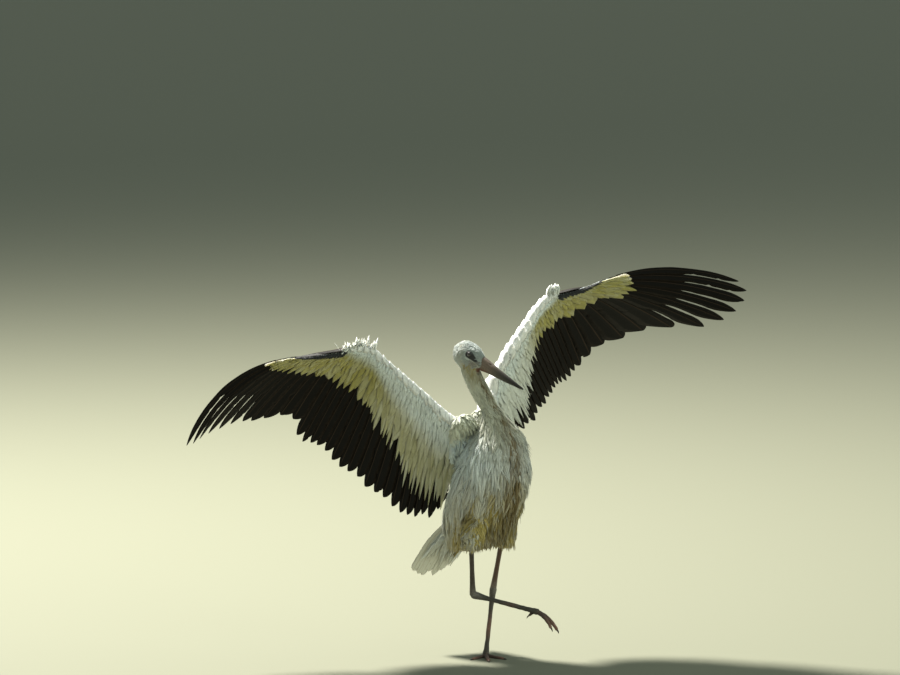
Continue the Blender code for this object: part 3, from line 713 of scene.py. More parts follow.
# Painted shade: the tone falls to half in the grooves between the scales.
edge = add_node(tree, "MapRange", {}, {"Value": dome}, To_Min=0.5, To_Max=1.0)
tone = add_node(tree, "Math", {"operation": "MULTIPLY"}, {0: tone, 1: edge})
mixed = add_node(tree, "VectorMath", {"operation": "SCALE"}, {0: tint, "Scale": tone})
bump = add_node(tree, "Bump", {}, {"Height": dome}, Strength=0.7, Distance=0.0005)
wire(tree, shader, {"Base Color": mixed, "Normal": bump})

leg_shell.data.materials.append(scaled_skin)
for shell in (body_shell, head_shell, *lids):
    shell.data.materials.append(thin_skin)
    dress(shell, markings(vertex_places(shell.data)))
skin = joined("skin", [body_shell, head_shell, *lids, leg_shell])
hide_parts(*BODY_NODES, *ARM_NODES, *LEG_NODES)
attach(skin, "root")


# ---------------------------------------------------------------- flight feathers
# Stiff keratin vanes on horny shafts, rooted in the arm's trailing edge. Each one's broad inner vane lies
# under the shaft of its inner neighbour. They are black, with brown worn edges.
def solid_faces(count, rows, sides):
    """Quads and end caps of count closed strips, each of rows rings with sides corners."""
    quads = grid_quads(rows, sides)
    fan = np.stack([np.zeros(sides - 2, int), np.arange(1, sides - 1), np.arange(2, sides)], -1)
    caps = np.concatenate([fan[:, ::-1], fan + (rows - 1) * sides])
    starts = np.arange(count)[:, None, None] * rows * sides
    return [(quads + starts).reshape(-1, 4), (caps + starts).reshape(-1, 3)]


def feather_piece(name, material, points, vane, bake, faces, colour=None, turned=False):
    """One mesh of feathers. turned flips its faces, where the wing is a mirror image."""
    piece = mesh_piece(name, points, [f[:, ::-1] for f in faces] if turned else faces, material)
    dress(piece, colour, vane, bake)
    return piece


BARB_SPACING = 0.0024  # real barbs are 0.5 mm apart, too fine to show, so they are drawn in bundles


def barb_wave(tree, lean, spacing):
    """Distance from the shaft, and a sine over barbs of this spacing that lean towards the tip, outwards.

    Both are read from the vane attribute: across it from -1 to 1, metres along it, and the feather's tone.
    """
    vane = add_node(tree, "Attribute", {"attribute_name": "vane"})
    parts = add_node(tree, "SeparateXYZ", {}, {"Vector": vane.outputs["Vector"]})
    across = add_node(tree, "Math", {"operation": "ABSOLUTE"}, {0: parts.outputs["X"]})
    slant = add_node(tree, "Math", {"operation": "MULTIPLY_ADD"}, {0: across, 2: parts.outputs["Y"]}, _1=-lean)
    turn = add_node(tree, "Math", {"operation": "MULTIPLY"}, {0: slant}, _1=2 * math.pi / spacing)
    return across, add_node(tree, "Math", {"operation": "SINE"}, {0: turn})


def barbs(tree, shader, vane_colour, edge_colour, shaft_colour):
    """Colours a stiff vane: fine barbs, a rim worn to the edge's colour, and the shaft."""
    across, wave = barb_wave(tree, 0.014, BARB_SPACING)
    where = {"Vector": add_node(tree, "TexCoord").outputs["Object"]}
    wear = add_node(tree, "TexNoise", {}, where, Scale=70.0, Detail=4.0)
    broken = add_node(tree, "Math", {"operation": "MULTIPLY"}, {0: wave, 1: wear})
    smooth = {"interpolation_type": "SMOOTHSTEP"}
    rim = add_node(tree, "MapRange", smooth, {"Value": across}, From_Min=0.55, From_Max=1.0)
    rim = add_node(tree, "Math", {"operation": "MULTIPLY"}, {0: rim, 1: wear})
    clamped = {"operation": "MULTIPLY_ADD", "use_clamp": True}
    rim = add_node(tree, "Math", clamped, {0: broken, 2: rim}, _1=0.14)
    span = {"From_Min": 0.03, "From_Max": 0.06, "To_Min": 1.0, "To_Max": 0.0}
    shaft = add_node(tree, "MapRange", {}, {"Value": across}, **span)
    vane_rgba, edge_rgba, shaft_rgba = ((*linear(c), 1) for c in (vane_colour, edge_colour, shaft_colour))
    base = add_node(tree, "Mix", {"data_type": "RGBA"}, {0: rim}, _6=vane_rgba, _7=edge_rgba)
    full = add_node(tree, "Mix", {"data_type": "RGBA"}, {0: shaft, 6: base.outputs[2]}, _7=shaft_rgba)
    bump = add_node(tree, "Bump", {}, {"Height": broken}, Strength=0.35, Distance=0.0003)
    wire(tree, shader, {"Base Color": full.outputs[2], "Normal": bump})


QUILL_ACROSS = np.array([  # a ring round the vane: across its upper side, then back under it
    -1, -0.6, -0.28, -0.07, 0, 0.07, 0.3, 0.62, 1, 0.62, 0.3, 0.07, 0, -0.07, -0.28, -0.6,
])  # fmt: skip
QUILL_SIDE = np.array([0, 1, 1, 1, 1, 1, 1, 1, 0, -1, -1, -1, -1, -1, -1, -1])
VANE_HALF = 0.00028
SIDE_ON_MAP = np.where(QUILL_SIDE < 0, 0.75, 0.25)  # the under side has its own half of a quill's strip
SLOT_AT, SLOT_START = (0, 5.5, 7, 9, 10, 29), (0.52, 0.58, 0.80, 0.90, 0.93, 0.92)


def quill_thickness(x, shaft):
    """Half thickness of a quill: VANE_HALF (1.3 - |x|), and the shaft's own in the middle."""
    return VANE_HALF * (1.3 - np.abs(x)) + (np.abs(x) < 0.01) * shaft


def vane_rows(shape, *parts):
    """The vane attribute: across the feather from -1 to 1, metres along it, and its tone."""
    return np.stack([np.broadcast_to(part, shape) for part in parts], -1)


def quill_map(number, count, x, run):
    """The bake map of count quills side by side, each with its own strip."""
    return np.stack(np.broadcast_arrays((number + SIDE_ON_MAP + x * 0.22) / count, 0.01 + 0.98 * run), -1)


def vane_widths(t, number, rng):
    """Widths of the outer and inner vane down each feather, as shares of the space between feathers.

    The outer is 0.36 and the inner 0.84 of it; past the slot of a finger both narrow. The edges waver, a
    few barbs have split, and the tip rounds off as (1 - s ** 1.9) ** 0.75.
    """
    slot = np.interp(number, SLOT_AT, SLOT_START)[:, None]
    finger = (number < 5.8)[:, None]
    narrowing = np.where(finger, ease(0, 0.2, (t - slot) / (1 - slot)), 0)
    tip = np.clip((t - np.where(finger, 0.84, 0.87)) / np.where(finger, 0.16, 0.13), 0, 1)
    rounding = (1 - tip**1.9) ** 0.75 + 0.02
    wave = 1 + 0.03 * np.sin(t * 26 + rng.uniform(0, 6, (len(t), 1))) + rng.normal(0, 0.012, t.shape)
    split = (rng.random(t.shape) < 0.07) * rng.uniform(0.05, 0.20, t.shape)
    return (0.36 - 0.05 * narrowing) * rounding * wave, (0.84 - 0.30 * narrowing) * rounding * (wave - split)


def quills(wing, first, last, rng):
    """Points, vane coordinates, bake map and faces of the flight feathers first to last of a wing."""
    number = np.arange(first, last + 1)
    count, rows, sides = len(number), 42, len(QUILL_ACROSS)
    run = 1 - (1 - np.linspace(0, 1, rows)) ** 1.25
    root = 0.5 * wing.covered(number)
    deep = 0.17 if wing.name == "right" else 0.03  # between the primaries and the secondaries
    notch = deep * bell(number[:, None], 9.6, 0.8)
    long = 1 - notch - 0.05 * rng.random((count, 1)) * (number[:, None] > 5.5)
    t = root[:, None] + (long - root[:, None]) * run[None, :]
    outer, inner = vane_widths(t / long, number, rng)
    x = QUILL_ACROSS[None, None, :]
    du = np.where(x < 0, x * outer[..., None], x * inner[..., None])
    thick = quill_thickness(x, 0.0011 * (1 - 0.75 * run[None, :, None]))
    droop = -0.004 * np.clip((t - 0.7) / 0.3, 0, 1) ** 2 * rng.uniform(0.2, 1.6, (count, 1))
    height = -du * 0.0026 + QUILL_SIDE * thick + 0.0006 * (1 - x**2) + droop[..., None]
    bend = rng.normal(0, 0.05, (count, 1)) * run[None, :] ** 2
    u = number[:, None, None] + du + bend[..., None]
    points = wing.place(u, np.repeat(t[..., None], sides, 2), height)
    along = t[..., None] * wing.length(number)[:, None, None]
    vane = vane_rows(points.shape[:-1], x, along, rng.random((count, 1, 1)))
    bake = quill_map(np.arange(count)[:, None, None], count, x, run[None, :, None])
    return points, vane, bake, solid_faces(count, rows, sides)


# Melanin makes these quills black and hard. Wear turns the vanes' rims brown, and the shafts are horn.
black_keratin, tree, shader = new_material("black_feather_keratin", "#0a0908", 0.55, Specular_IOR_Level=0.12)
barbs(tree, shader, "#060505", "#2b2118", "#35291f")
FANS = (("primaries", 0, WRIST), ("secondaries", WRIST, ELBOW), ("tertials", ELBOW, INNERMOST))
for wing in WINGS:
    for fan, start, end in FANS:
        rng = np.random.default_rng(20 + int(start) + wing.sign)
        made = quills(wing, math.ceil(start), math.floor(end), rng)
        piece = feather_piece(f"{fan}_{wing.name}", black_keratin, *made, turned=wing.sign < 0)
        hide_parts(f"wing_{wing.name}_{fan}")
        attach(piece, "root")


# ---------------------------------------------------------------- tail
# Ten stiff white quills, spread a little, in a fan that hangs from the rump.
RUMP = np.array([0.000, 0.128, 0.388])
TAIL_LENGTH, TAIL_FEATHERS = 0.215, 10
TAIL_AIM = aim(-175, -54)
TAIL_ACROSS = unit(np.cross(TAIL_AIM, aim(0, 0)))
TAIL_UP = np.cross(TAIL_ACROSS, TAIL_AIM)


def tail_place(u, v, height):
    """Feather u, share v of its length and height over the fan, which widens as a sine and arches down."""
    turn = (u - (TAIL_FEATHERS - 1) / 2) / TAIL_FEATHERS
    reach = TAIL_LENGTH * v * (1 - 0.25 * turn**2)
    half = 0.046 + 0.028 * np.sin(np.minimum(v / 0.5, 1) * math.pi / 2)
    arch = -0.018 * (2 * turn) ** 2 * (0.4 + 0.6 * v) + height
    across = 2 * turn * half
    return RUMP + reach[..., None] * TAIL_AIM + across[..., None] * TAIL_ACROSS + arch[..., None] * TAIL_UP


def tail_quills(rng):
    """Ten vanes as wide as their share of the fan and half as much again, the middle pair on top."""
    number = np.arange(TAIL_FEATHERS)
    rows, sides = 34, len(QUILL_ACROSS)
    run = np.linspace(0, 1, rows)
    t = np.broadcast_to(0.02 + 0.98 * run, (TAIL_FEATHERS, rows))
    tip = np.clip((t - 0.88) / 0.12, 0, 1)
    split = (rng.random(t.shape) < 0.22) * rng.uniform(0.05, 0.30, t.shape) * (0.3 + t)
    half = 0.72 * (np.sqrt(1 - tip**2) + 0.03) * (1 + rng.normal(0, 0.02, t.shape) - split)
    x = QUILL_ACROSS[None, None, :]
    bend = rng.normal(0, 0.12, (TAIL_FEATHERS, 1, 1)) * run[None, :, None]
    u = number[:, None, None] + x * half[..., None] + bend
    off_middle = (number - (TAIL_FEATHERS - 1) / 2)[:, None, None]
    thick = quill_thickness(x, 0.0009 * (1 - 0.7 * run[None, :, None]))
    height = -0.0016 * np.abs(off_middle) - np.sign(off_middle) * x * 0.0012 + QUILL_SIDE * thick
    length = 1 - 0.14 * rng.random((TAIL_FEATHERS, 1, 1))
    points = tail_place(u, np.broadcast_to(t[..., None] * length, u.shape), height)
    vane = vane_rows(u.shape, x, t[..., None] * TAIL_LENGTH, rng.random((TAIL_FEATHERS, 1, 1)))
    bake = quill_map(number[:, None, None], TAIL_FEATHERS, x, run[None, :, None])
    return points, vane, bake, solid_faces(TAIL_FEATHERS, rows, sides)


# White keratin vanes scatter light; dust and wear grey them along the shafts, and painted shade greys
# them a little between the barbs.
white_keratin, tree, shader = new_material("white_feather_keratin", "#dedcd2", 0.6, Sheen_Weight=0.1)
barbs(tree, shader, "#d6d5ca", "#aca68f", "#b3ab90")
tail = feather_piece("tail_quills", white_keratin, *tail_quills(np.random.default_rng(3)))
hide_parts("tail")
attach(tail, "root")


# ---------------------------------------------------------------- coverts
# Soft overlapping feathers that shingle both faces of each wing, from the long greater coverts over the
# quills' roots to tiny ones on the leading edge. Below they are white to cream: the white is tinted blue
# near the leading edge as painted sky light, and the cream is partly their own colour and partly painted
# shade. Above, the greater ones, the primary coverts and the alula are black.
COVERT_ACROSS = np.array([-1, -0.45, 0, 0.45, 1, 0.4, -0.4])
COVERT_SIDE = np.array([0, 1, 1, 1, 0, -1, -1])
ROWS = (  # tip and root as shares of the covered part, space between feathers in ribs, how far tips vary
    (1.02, 0.50, 1.00, 0.045),
    (0.92, 0.42, 0.90, 0.050),
    (0.80, 0.33, 0.80, 0.050),
    (0.68, 0.26, 0.75, 0.045),
    (0.57, 0.19, 0.70, 0.040),
    (0.46, 0.13, 0.64, 0.035),
    (0.37, 0.08, 0.60, 0.028),
    (0.29, 0.04, 0.56, 0.022),
    (0.22, 0.01, 0.52, 0.018),
    (0.16, -0.012, 0.50, 0.014),
    (0.11, -0.024, 0.48, 0.010),
    (0.06, -0.033, 0.46, 0.006),
)
# The cream is partly painted shade, the blue-white painted sky light, the blue-black a painted sheen.
CREAM_AND_SHADE, SKY_LIT_PALE, SOOT, SHEEN_BLUE_BLACK = linear("#a29a52"), linear("#e4eef0"), linear("#0d0b09"), linear("#12161b")


def tapering(t, blunt):
    """Half width of a soft vane: 0.55 at the root, 1 from 0.4 of it on, then 1 - s ** blunt from 0.45 on."""
    rise = 0.55 + 0.45 * np.sin(np.clip(t / 0.4, 0, 1) * math.pi / 2)
    return rise * (1 - np.clip((t - 0.45) / 0.55, 0, 1) ** blunt) + 0.02


MAP_RIBS = INNERMOST + 2.2  # width of the small wing feathers' bake map, in ribs


def small_map(spot, x, t):
    """The bake map of small feathers: each fills a patch of 0.003 by 0.003 round its own spot."""
    patch = np.stack(np.broadcast_arrays(x * 0.0015, (t - 0.5) * 0.003), -1)
    return np.clip(spot[:, None, None, :] + patch, 0.002, 0.998)


def soft_thickness(x, side):
    """Height of a soft vane's face over its middle, which is cupped by a millimetre."""
    return 0.00030 * (1.2 - np.abs(x)) * side + 0.0010 * (1 - x**2)


def covert_rows(rng):
    """Number, tip, root, half width and row of every feather of one face, from the table of rows."""
    made = []
    for k, (row_tip, row_root, space, vary) in enumerate(ROWS):
        at = np.arange(0.5 + (k % 2) * space / 2, INNERMOST + 1.45, space)
        at = at + rng.normal(0, 0.12 * space, len(at))
        long = np.where(rng.random(len(at)) < 0.25, 2.0, 1.0)
        tips = row_tip + rng.normal(0, vary, len(at)) * long
        wide = 0.68 * space * rng.uniform(0.75, 1.2, len(at))
        made.append(np.stack([at, tips, np.full(len(at), row_root), wide, np.full(len(at), k)]))
    return np.concatenate(made, 1)


def spike_rows(rng):
    """Long pointed feathers of the inner wing that hang over the tertials, below only."""
    at = np.concatenate([np.arange(16.5, INNERMOST + 1.2, 0.62), np.arange(19, INNERMOST + 1.2, 0.8)])
    reach = np.interp(at, (16, 20, 24, 28, 30), (1.05, 1.16, 1.16, 1.10, 1.02))
    tips = reach + rng.normal(0, 0.075, len(at))
    wide = rng.uniform(0.24, 0.46, len(at))
    at = at + rng.normal(0, 0.1, len(at))
    return np.stack([at, tips, 0.34 + rng.uniform(0, 0.1, len(at)), wide, at * 0])


def covert_colour(wing, number, row, side, share, rng):
    """Below, cream with painted shade deepens to the tips over white; above, rows 0, 1 and the hand are black.
    """
    count = len(number)
    inner = ease(15, 21, number)[:, None]
    outer = ease(12.5, 8.5, number)[:, None]
    # Cream, partly their own colour and partly painted shade, is kept off the inner left wing, which is lit.
    deep = ease(0.10 + 0.16 * inner - 0.3 * outer, 0.42 + 0.26 * inner - 0.3 * outer, share)
    deep = deep * (1 - (0.85 if wing.name == "left" else 0.25) * inner)
    deep = np.clip(deep * rng.uniform(0.82, 1.06, (count, 1)), 0, 1)[..., None]
    # Painted sky light: near the leading edge the white is tinted blue.
    white = SKY_LIT_PALE + (SNOW - SKY_LIT_PALE) * ease(0.25, 0.6, share)[..., None]
    below = blended(white, CREAM_AND_SHADE, deep)
    hand = number < WRIST - 0.3
    if side < 0:
        # Painted sheen: below, the hand's edge is a bluish black, for the gloss of the black feathers.
        edge = (hand & (row >= 9))[:, None, None]
        return np.where(edge, SHEEN_BLUE_BLACK, below) * rng.uniform(0.9, 1.03, (count, 1, 1))
    # Painted glint: on the left hand a few small outer coverts stay white above, for a glint on the black
    # edge.
    painted_glint = (number < 5) & (row >= 9) & (wing.name == "left")
    dark = np.where(hand, ~painted_glint, row <= 1)[:, None, None]
    return np.where(dark, SOOT, white) * rng.uniform(0.92, 1.03, (count, 1, 1))


def coverts(wing, side, rng):
    """All rows of one face of a wing. side is 1 above and -1 below."""
    rows, sides = 9, len(COVERT_ACROSS)
    table = covert_rows(rng)
    if side < 0:
        table = np.concatenate([table, spike_rows(rng)], 1)
    number, tip, root, width, row = table
    count = len(number)
    t = np.broadcast_to(np.linspace(0, 1, rows), (count, rows))
    share = root[:, None] + (tip - root)[:, None] * t
    half = width[:, None] * tapering(t, rng.uniform(1.1, 2.4, (count, 1)))
    half = half * (1 + rng.normal(0, 0.06, (count, rows)))
    x = COVERT_ACROSS[None, None, :]
    drift = rng.normal(0, 0.22, (count, 1)) * width[:, None] * t**2
    u = number[:, None, None] + drift[..., None] + x * half[..., None]
    skin_share = np.interp(share, (-0.03, 0.02, 0.11, 1), (0.3, 0.75, 0.8, 0.6))
    depth = wing.half_depth(u, np.maximum(share, -0.022)[..., None])
    depth = depth * (skin_share + (1 - skin_share) * t)[..., None]
    loose = np.interp(row, (0, 4, 8, 11), (1.0, 1.5, 0.7, 0.4))[:, None, None]
    fluff = 0.0008 + 0.0026 * t[..., None] ** 1.5 * loose * rng.uniform(0.2, 1.6, (count, 1, 1))
    clear = np.clip(share / 0.5, 0, 1)[..., None] * 0.0022
    roll = x * rng.normal(0, 0.0008, (count, 1, 1)) * t[..., None]
    height = side * (depth + fluff + clear + roll + soft_thickness(x, COVERT_SIDE))
    covered = wing.covered(number)[:, None, None]
    points = wing.place(u, share[..., None] * covered, height)
    shape = points.shape[:-1]
    length = ((tip - root) * wing.covered(number) * wing.length(number))[:, None, None]
    vane = vane_rows(shape, x, t[..., None] * length, rng.random((count, 1, 1)))
    spot = np.stack([(number + 0.5) / MAP_RIBS, np.clip(root + 0.05, 0.0, 1)], -1)
    bake = small_map(spot, x, t[..., None])
    colour = covert_colour(wing, number, row, side, share, rng)
    colour = np.broadcast_to(colour[:, :, None, :], (*shape, 3))
    return points, vane, bake, solid_faces(count, rows, sides), colour


# Contour feathers are softer and more open than quills, so they are matt with a faint bloom at grazing
# angles. Their colour is painted on each feather, with a little painted shade between the barbs.
SOFT_BARB_SPACING = 0.0016
contour_feather, tree, shader = new_material(
    "contour_feather_keratin", "#e8e8e2", 0.75, Sheen_Weight=0.1,
    Subsurface_Weight=0.3, Subsurface_Scale=0.010, Subsurface_Radius=(1.0, 0.9, 0.75),
)  # fmt: skip
tint = add_node(tree, "Attribute", {"attribute_name": "plumage"})
where = {"Vector": add_node(tree, "TexCoord").outputs["Object"]}
mottle = add_node(tree, "TexNoise", {}, where, Scale=90.0, Detail=3.0)
span = {"From_Min": 0.3, "From_Max": 0.7, "To_Min": 0.88, "To_Max": 1.04}
shade = add_node(tree, "MapRange", {}, {"Value": mottle}, **span)
_, wave = barb_wave(tree, 0.006, SOFT_BARB_SPACING)
# Painted shade: the colour darkens a little between the barbs.
line = add_node(tree, "MapRange", {}, {"Value": wave}, From_Min=-1.0, To_Min=0.975, To_Max=1.01)
tone = add_node(tree, "Math", {"operation": "MULTIPLY"}, {0: shade, 1: line})
bump = add_node(tree, "Bump", {}, {"Height": wave}, Strength=0.07, Distance=0.0003)
mixed = add_node(tree, "VectorMath", {"operation": "SCALE"}, {0: tint, "Scale": tone})
wire(tree, shader, {"Base Color": mixed, "Normal": bump})
for wing in WINGS:
    for side, place_name in ((-1, "under"), (1, "upper")):
        rng = np.random.default_rng(40 + 2 * wing.sign + side)
        name = f"{place_name}wing_coverts_{wing.name}"
        piece = feather_piece(name, contour_feather, *coverts(wing, side, rng), turned=wing.sign * side < 0)
        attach(piece, "root")


# ---------------------------------------------------------------- edge feathers
# Plump white feathers wrap the leading edge of the arm and overlap outwards, so that it is scalloped. At
# the wrist they stand up in a ragged tuft.
EDGE_ACROSS = np.array([-1, -0.66, -0.33, 0, 0.33, 0.66, 1, 0.6, 0.2, -0.2, -0.6])
EDGE_SIDE = np.array([0, 1, 1, 1, 1, 1, 0, -1, -1, -1, -1])
# The edge feathers are whiter than the rest: their own white with a painted highlight of the lit edge.
PAINTED_HIGHLIGHT_WHITE = linear("#f6f8f7")


def edge_feathers(wing, rng):
    """Vanes along the edge, outwards, bent round it: share -0.028 + 0.14 |w| ** 1.5 for w across them."""
    at = np.arange(10.4, INNERMOST + 1.2, 0.46)
    plump = (np.arange(len(at)) % 3 == 0)[:, None, None] * (1.0 if wing.name == "left" else 0.4)
    at = at + rng.normal(0, 0.08, len(at))
    count, rows, sides = len(at), 9, len(EDGE_ACROSS)
    t = np.linspace(0, 1, rows)[None, :, None]
    x = EDGE_ACROSS[None, None, :]
    reach = rng.uniform(1.0, 1.5, (count, 1, 1)) + 0.6 * plump
    u = at[:, None, None] + 0.5 - reach * t
    rounding = np.sqrt(np.maximum(1 - np.clip(t * 1.7 - 0.7, 0, 1) ** 2, 0.002))
    w = x * rounding * rng.uniform(0.7, 1.0, (count, 1, 1))
    w = w + rng.normal(0.15, 0.15, (count, 1, 1))
    bend = np.clip(w, -1, 1) * math.pi / 2
    share = -0.028 + 0.14 * np.abs(w) ** 1.5
    lift = 0.0012 + (0.0005 + 0.0020 * rng.random((count, 1, 1)) + 0.0065 * plump) * t**1.3
    lift = lift + EDGE_SIDE * 0.0005 * (1.2 - np.abs(x))
    to_rib = wing.covered(u) * wing.length(u)
    v = (share - lift * np.cos(bend) / to_rib) * wing.covered(u)
    height = np.sign(w) * wing.half_depth(u, share) + lift * np.sin(bend)
    points = wing.place(u, v, height)
    shape = points.shape[:-1]
    vane = vane_rows(shape, x, t * 0.03, rng.random((count, 1, 1)))
    bake = small_map(np.stack([at / MAP_RIBS, np.full(count, 0.03)], -1), x, t)
    colour = np.broadcast_to(PAINTED_HIGHLIGHT_WHITE * rng.uniform(0.97, 1.0, (count, 1, 1, 1)), (*shape, 3))
    return points, vane, bake, solid_faces(count, rows, sides), colour


STRAND_ACROSS, STRAND_UP = np.array([-1.0, 0.0, 1.0]), np.array([0.0, 1.0, 0.0])


def strand_points(middle, wide, crest, half, thick):
    """Rings of three points: half out to each side of the middle, and thick over it along the crest."""
    x, z = STRAND_ACROSS[:, None], STRAND_UP[:, None]
    return middle[:, :, None] + wide * x * half + crest * z * thick


LOBES_AT, TUFT_SPAN = (11.5, 9.9), (8.6, 14.5)  # ribs of the left wrist's lobes, and of the right's tuft


def wrist_tuft(wing, rng):
    """Loose strands that stand forwards and up round the wrist: in two plump lobes, or in a ragged row."""
    plump, count, rows = wing.name == "left", 80, 6
    middle_at = rng.choice(LOBES_AT, count) if plump else rng.uniform(*TUFT_SPAN, count)
    at = middle_at + rng.normal(0, 0.22, count)
    share = rng.uniform(-0.02, 0.06, count)
    depth = wing.half_depth(at, share) * 0.6 * rng.uniform(-1, 1, count)
    root = wing.place(at, share * wing.covered(at), depth)
    ahead = unit(wing.place(at, -0.05, 0.0) - wing.place(at, 0.05, 0.0))
    out = unit(wing.place(at - 0.3, 0.0, 0.0) - wing.place(at + 0.3, 0.0, 0.0))
    high = np.cross(ahead, out)
    spread = 0.14 if plump else 0.4
    heading = ahead * rng.uniform(0.7, 1.0, (count, 1)) + out * rng.normal(0.35, spread, (count, 1))
    heading = heading + high * rng.normal(0, spread, (count, 1))
    heading = unit(heading + np.array([0, 0, 0.9 if plump else 0.3]))
    length = rng.uniform(0.026, 0.035, count) if plump else rng.uniform(0.014, 0.038, count)
    t = np.linspace(0, 1, rows)[None, :, None]
    middle = root[:, None] + heading[:, None] * t * length[:, None, None]
    middle[..., 2] += 0.15 * length[:, None] * t[..., 0] ** 2
    wide = unit(np.cross(heading, rng.normal(0, 1, (count, 3))))
    crest = np.cross(heading, wide)
    half = rng.uniform(0.0018, 0.0034, (count, 1)) * (2.2 if plump else 1.5)
    half = (half * tapering(t[..., 0], 3.0 if plump else 2.0))[..., None, None]
    points = strand_points(middle, wide[:, None, None], crest[:, None, None], half, half * 0.4)
    shape = points.shape[:-1]
    vane = vane_rows(shape, STRAND_ACROSS, t, rng.random((count, 1, 1)))
    bake = small_map(np.stack([at / LAST_RIB, 0.5 + share * 4], -1), STRAND_ACROSS, t)
    colour = np.broadcast_to(SNOW * rng.uniform(0.95, 1.05, (count, 1, 1, 1)), (*shape, 3))
    return points, vane, bake, solid_faces(count, rows, 3), colour


for wing in WINGS:
    for name, make in (("edge_feathers", edge_feathers), ("wrist_tuft", wrist_tuft)):
        made = make(wing, np.random.default_rng(70 + wing.sign))
        piece = feather_piece(f"{name}_{wing.name}", contour_feather, *made)
        turned_out(piece)
        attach(piece, "root")


# ---------------------------------------------------------------- tail coverts
# Long soft feathers that cover the roots of the tail on both faces.
def tail_coverts(rng):
    """Tapering vanes over the fan: each starts within 0.36 of its length and is 0.28 to 0.46 of it long."""
    count, rows, sides = 130, 7, len(COVERT_ACROSS)
    side = np.where(np.arange(count) % 2, 1.0, -1.0)[:, None, None]
    middle = rng.uniform(0.4, TAIL_FEATHERS - 1.4, (count, 1, 1))
    t = np.linspace(0, 1, rows)[None, :, None]
    x = COVERT_ACROSS[None, None, :]
    start = rng.uniform(-0.02, 0.36, (count, 1, 1))
    v = start + rng.uniform(0.28, 0.46, (count, 1, 1)) * t
    half = rng.uniform(0.28, 0.55, (count, 1, 1)) * tapering(t, 1.7)
    u = middle + x * half + rng.normal(0, 0.5, (count, 1, 1)) * t**2
    height = side * (0.0022 + rng.uniform(0.001, 0.008, (count, 1, 1)) * (1 - v) + 0.0012 * t)
    height = height + side * soft_thickness(x, COVERT_SIDE)
    points = tail_place(u, v, height)
    shape = points.shape[:-1]
    vane = vane_rows(shape, x, v * TAIL_LENGTH, rng.random((count, 1, 1)))
    half_map = middle[..., 0] / (2 * TAIL_FEATHERS) + (side[..., 0] > 0) * 0.5
    spot = np.concatenate([half_map, start[..., 0] + 0.1], -1)
    bake = small_map(spot, x, t)
    # Towards their tips some take the underparts' yellow-brown, partly soiling and partly painted shade.
    soil_and_shade = rng.uniform(0, 0.5, (count, 1, 1, 1)) * t[..., None]
    colour = np.broadcast_to(blended(SNOW, STAIN_AND_SHADE * 0.8, soil_and_shade), (*shape, 3))
    return points, vane, bake, solid_faces(count, rows, sides), colour


piece = feather_piece("tail_coverts", contour_feather, *tail_coverts(np.random.default_rng(90)))
turned_out(piece)
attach(piece, "root")


# ---------------------------------------------------------------- alula
# Five stiff black feathers on the wing's thumb, which lie along the leading edge of the hand.
def alula(wing, rng):
    """Vanes that run outwards from the wrist, side by side down the rib, tapering to round tips."""
    count, rows, sides = 5, 22, len(QUILL_ACROSS)
    t = np.linspace(0, 1, rows)[None, :, None]
    k = np.arange(count)[:, None, None]
    reach = np.array([4.2, 5.2, 6.0, 6.6, 5.0])[:, None, None]
    x = QUILL_ACROSS[None, None, :]
    tip = np.clip((t - 0.8) / 0.2, 0, 1)
    half = 0.020 * (0.6 + 0.4 * np.minimum(t * 4, 1)) * (np.sqrt(1 - tip**2) + 0.04)
    u = 9.3 - reach * t + rng.normal(0, 0.1, (count, 1, 1))
    v = -0.014 + 0.020 * k + 0.010 * t + x * half
    thick = quill_thickness(x, 0.0007 * (1 - 0.7 * t))
    share = v / wing.covered(np.clip(u, 0, 30))
    over = wing.half_depth(u, np.clip(share, -0.02, 1)) + 0.0022 + 0.0008 * k
    points = wing.place(u, v, over + QUILL_SIDE * thick + x * 0.0006)
    vane = vane_rows(points.shape[:-1], x, t * 0.11, rng.random((count, 1, 1)))
    bake = quill_map(k, count, x, t)
    return points, vane, bake, solid_faces(count, rows, sides)


for wing in WINGS:
    made = alula(wing, np.random.default_rng(60 + wing.sign))
    piece = feather_piece(f"alula_{wing.name}", black_keratin, *made, turned=wing.sign < 0)
    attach(piece, "root")


# ---------------------------------------------------------------- body plumage
# Contour feathers lie back along the body from the bill to the tail. Broad soft vanes cover the skin, and
# over them damp strands draw together in pointed locks, longest on the belly and the thighs.
KNEE_TOP, KNEE_BEND, KNEE_END = 0.06, 0.01, 0.08  # metres above, above and below a knee's middle


def flow_lines():
    """Starts and ends of the lines that the coat follows: down the spine, and straight down each knee."""
    starts, ends = [SPINE[:-1]], [SPINE[1:]]
    down = np.array([0, 0, -1.0])
    for side in ("left", "right"):
        knee = (box_middle("thigh_" + side) + box_middle("shank_" + side)) / 2
        starts.append([knee - down * KNEE_TOP, knee - down * KNEE_BEND])
        ends.append([knee - down * KNEE_BEND, knee + down * KNEE_END])
    return np.concatenate(starts), np.concatenate(ends)


FLOW_FROM, FLOW_TO = flow_lines()


def lie_of(places):
    """Unit direction of the coat: the lines' directions, each over the fourth power of its distance."""
    step = FLOW_TO - FLOW_FROM
    size = (step**2).sum(-1)
    off = places[:, None] - FLOW_FROM
    share = np.clip((off * step).sum(-1) / size, 0, 1)
    gap = np.linalg.norm(off - share[..., None] * step, axis=-1)
    weight = np.sqrt(size) / (gap + 0.004) ** 4
    weight[:, len(SPINE) - 1 :] *= ease(0.41, 0.36, places[:, 2:3])  # high on the thigh it follows the flank
    return unit((weight[..., None] * unit(step)).sum(1))


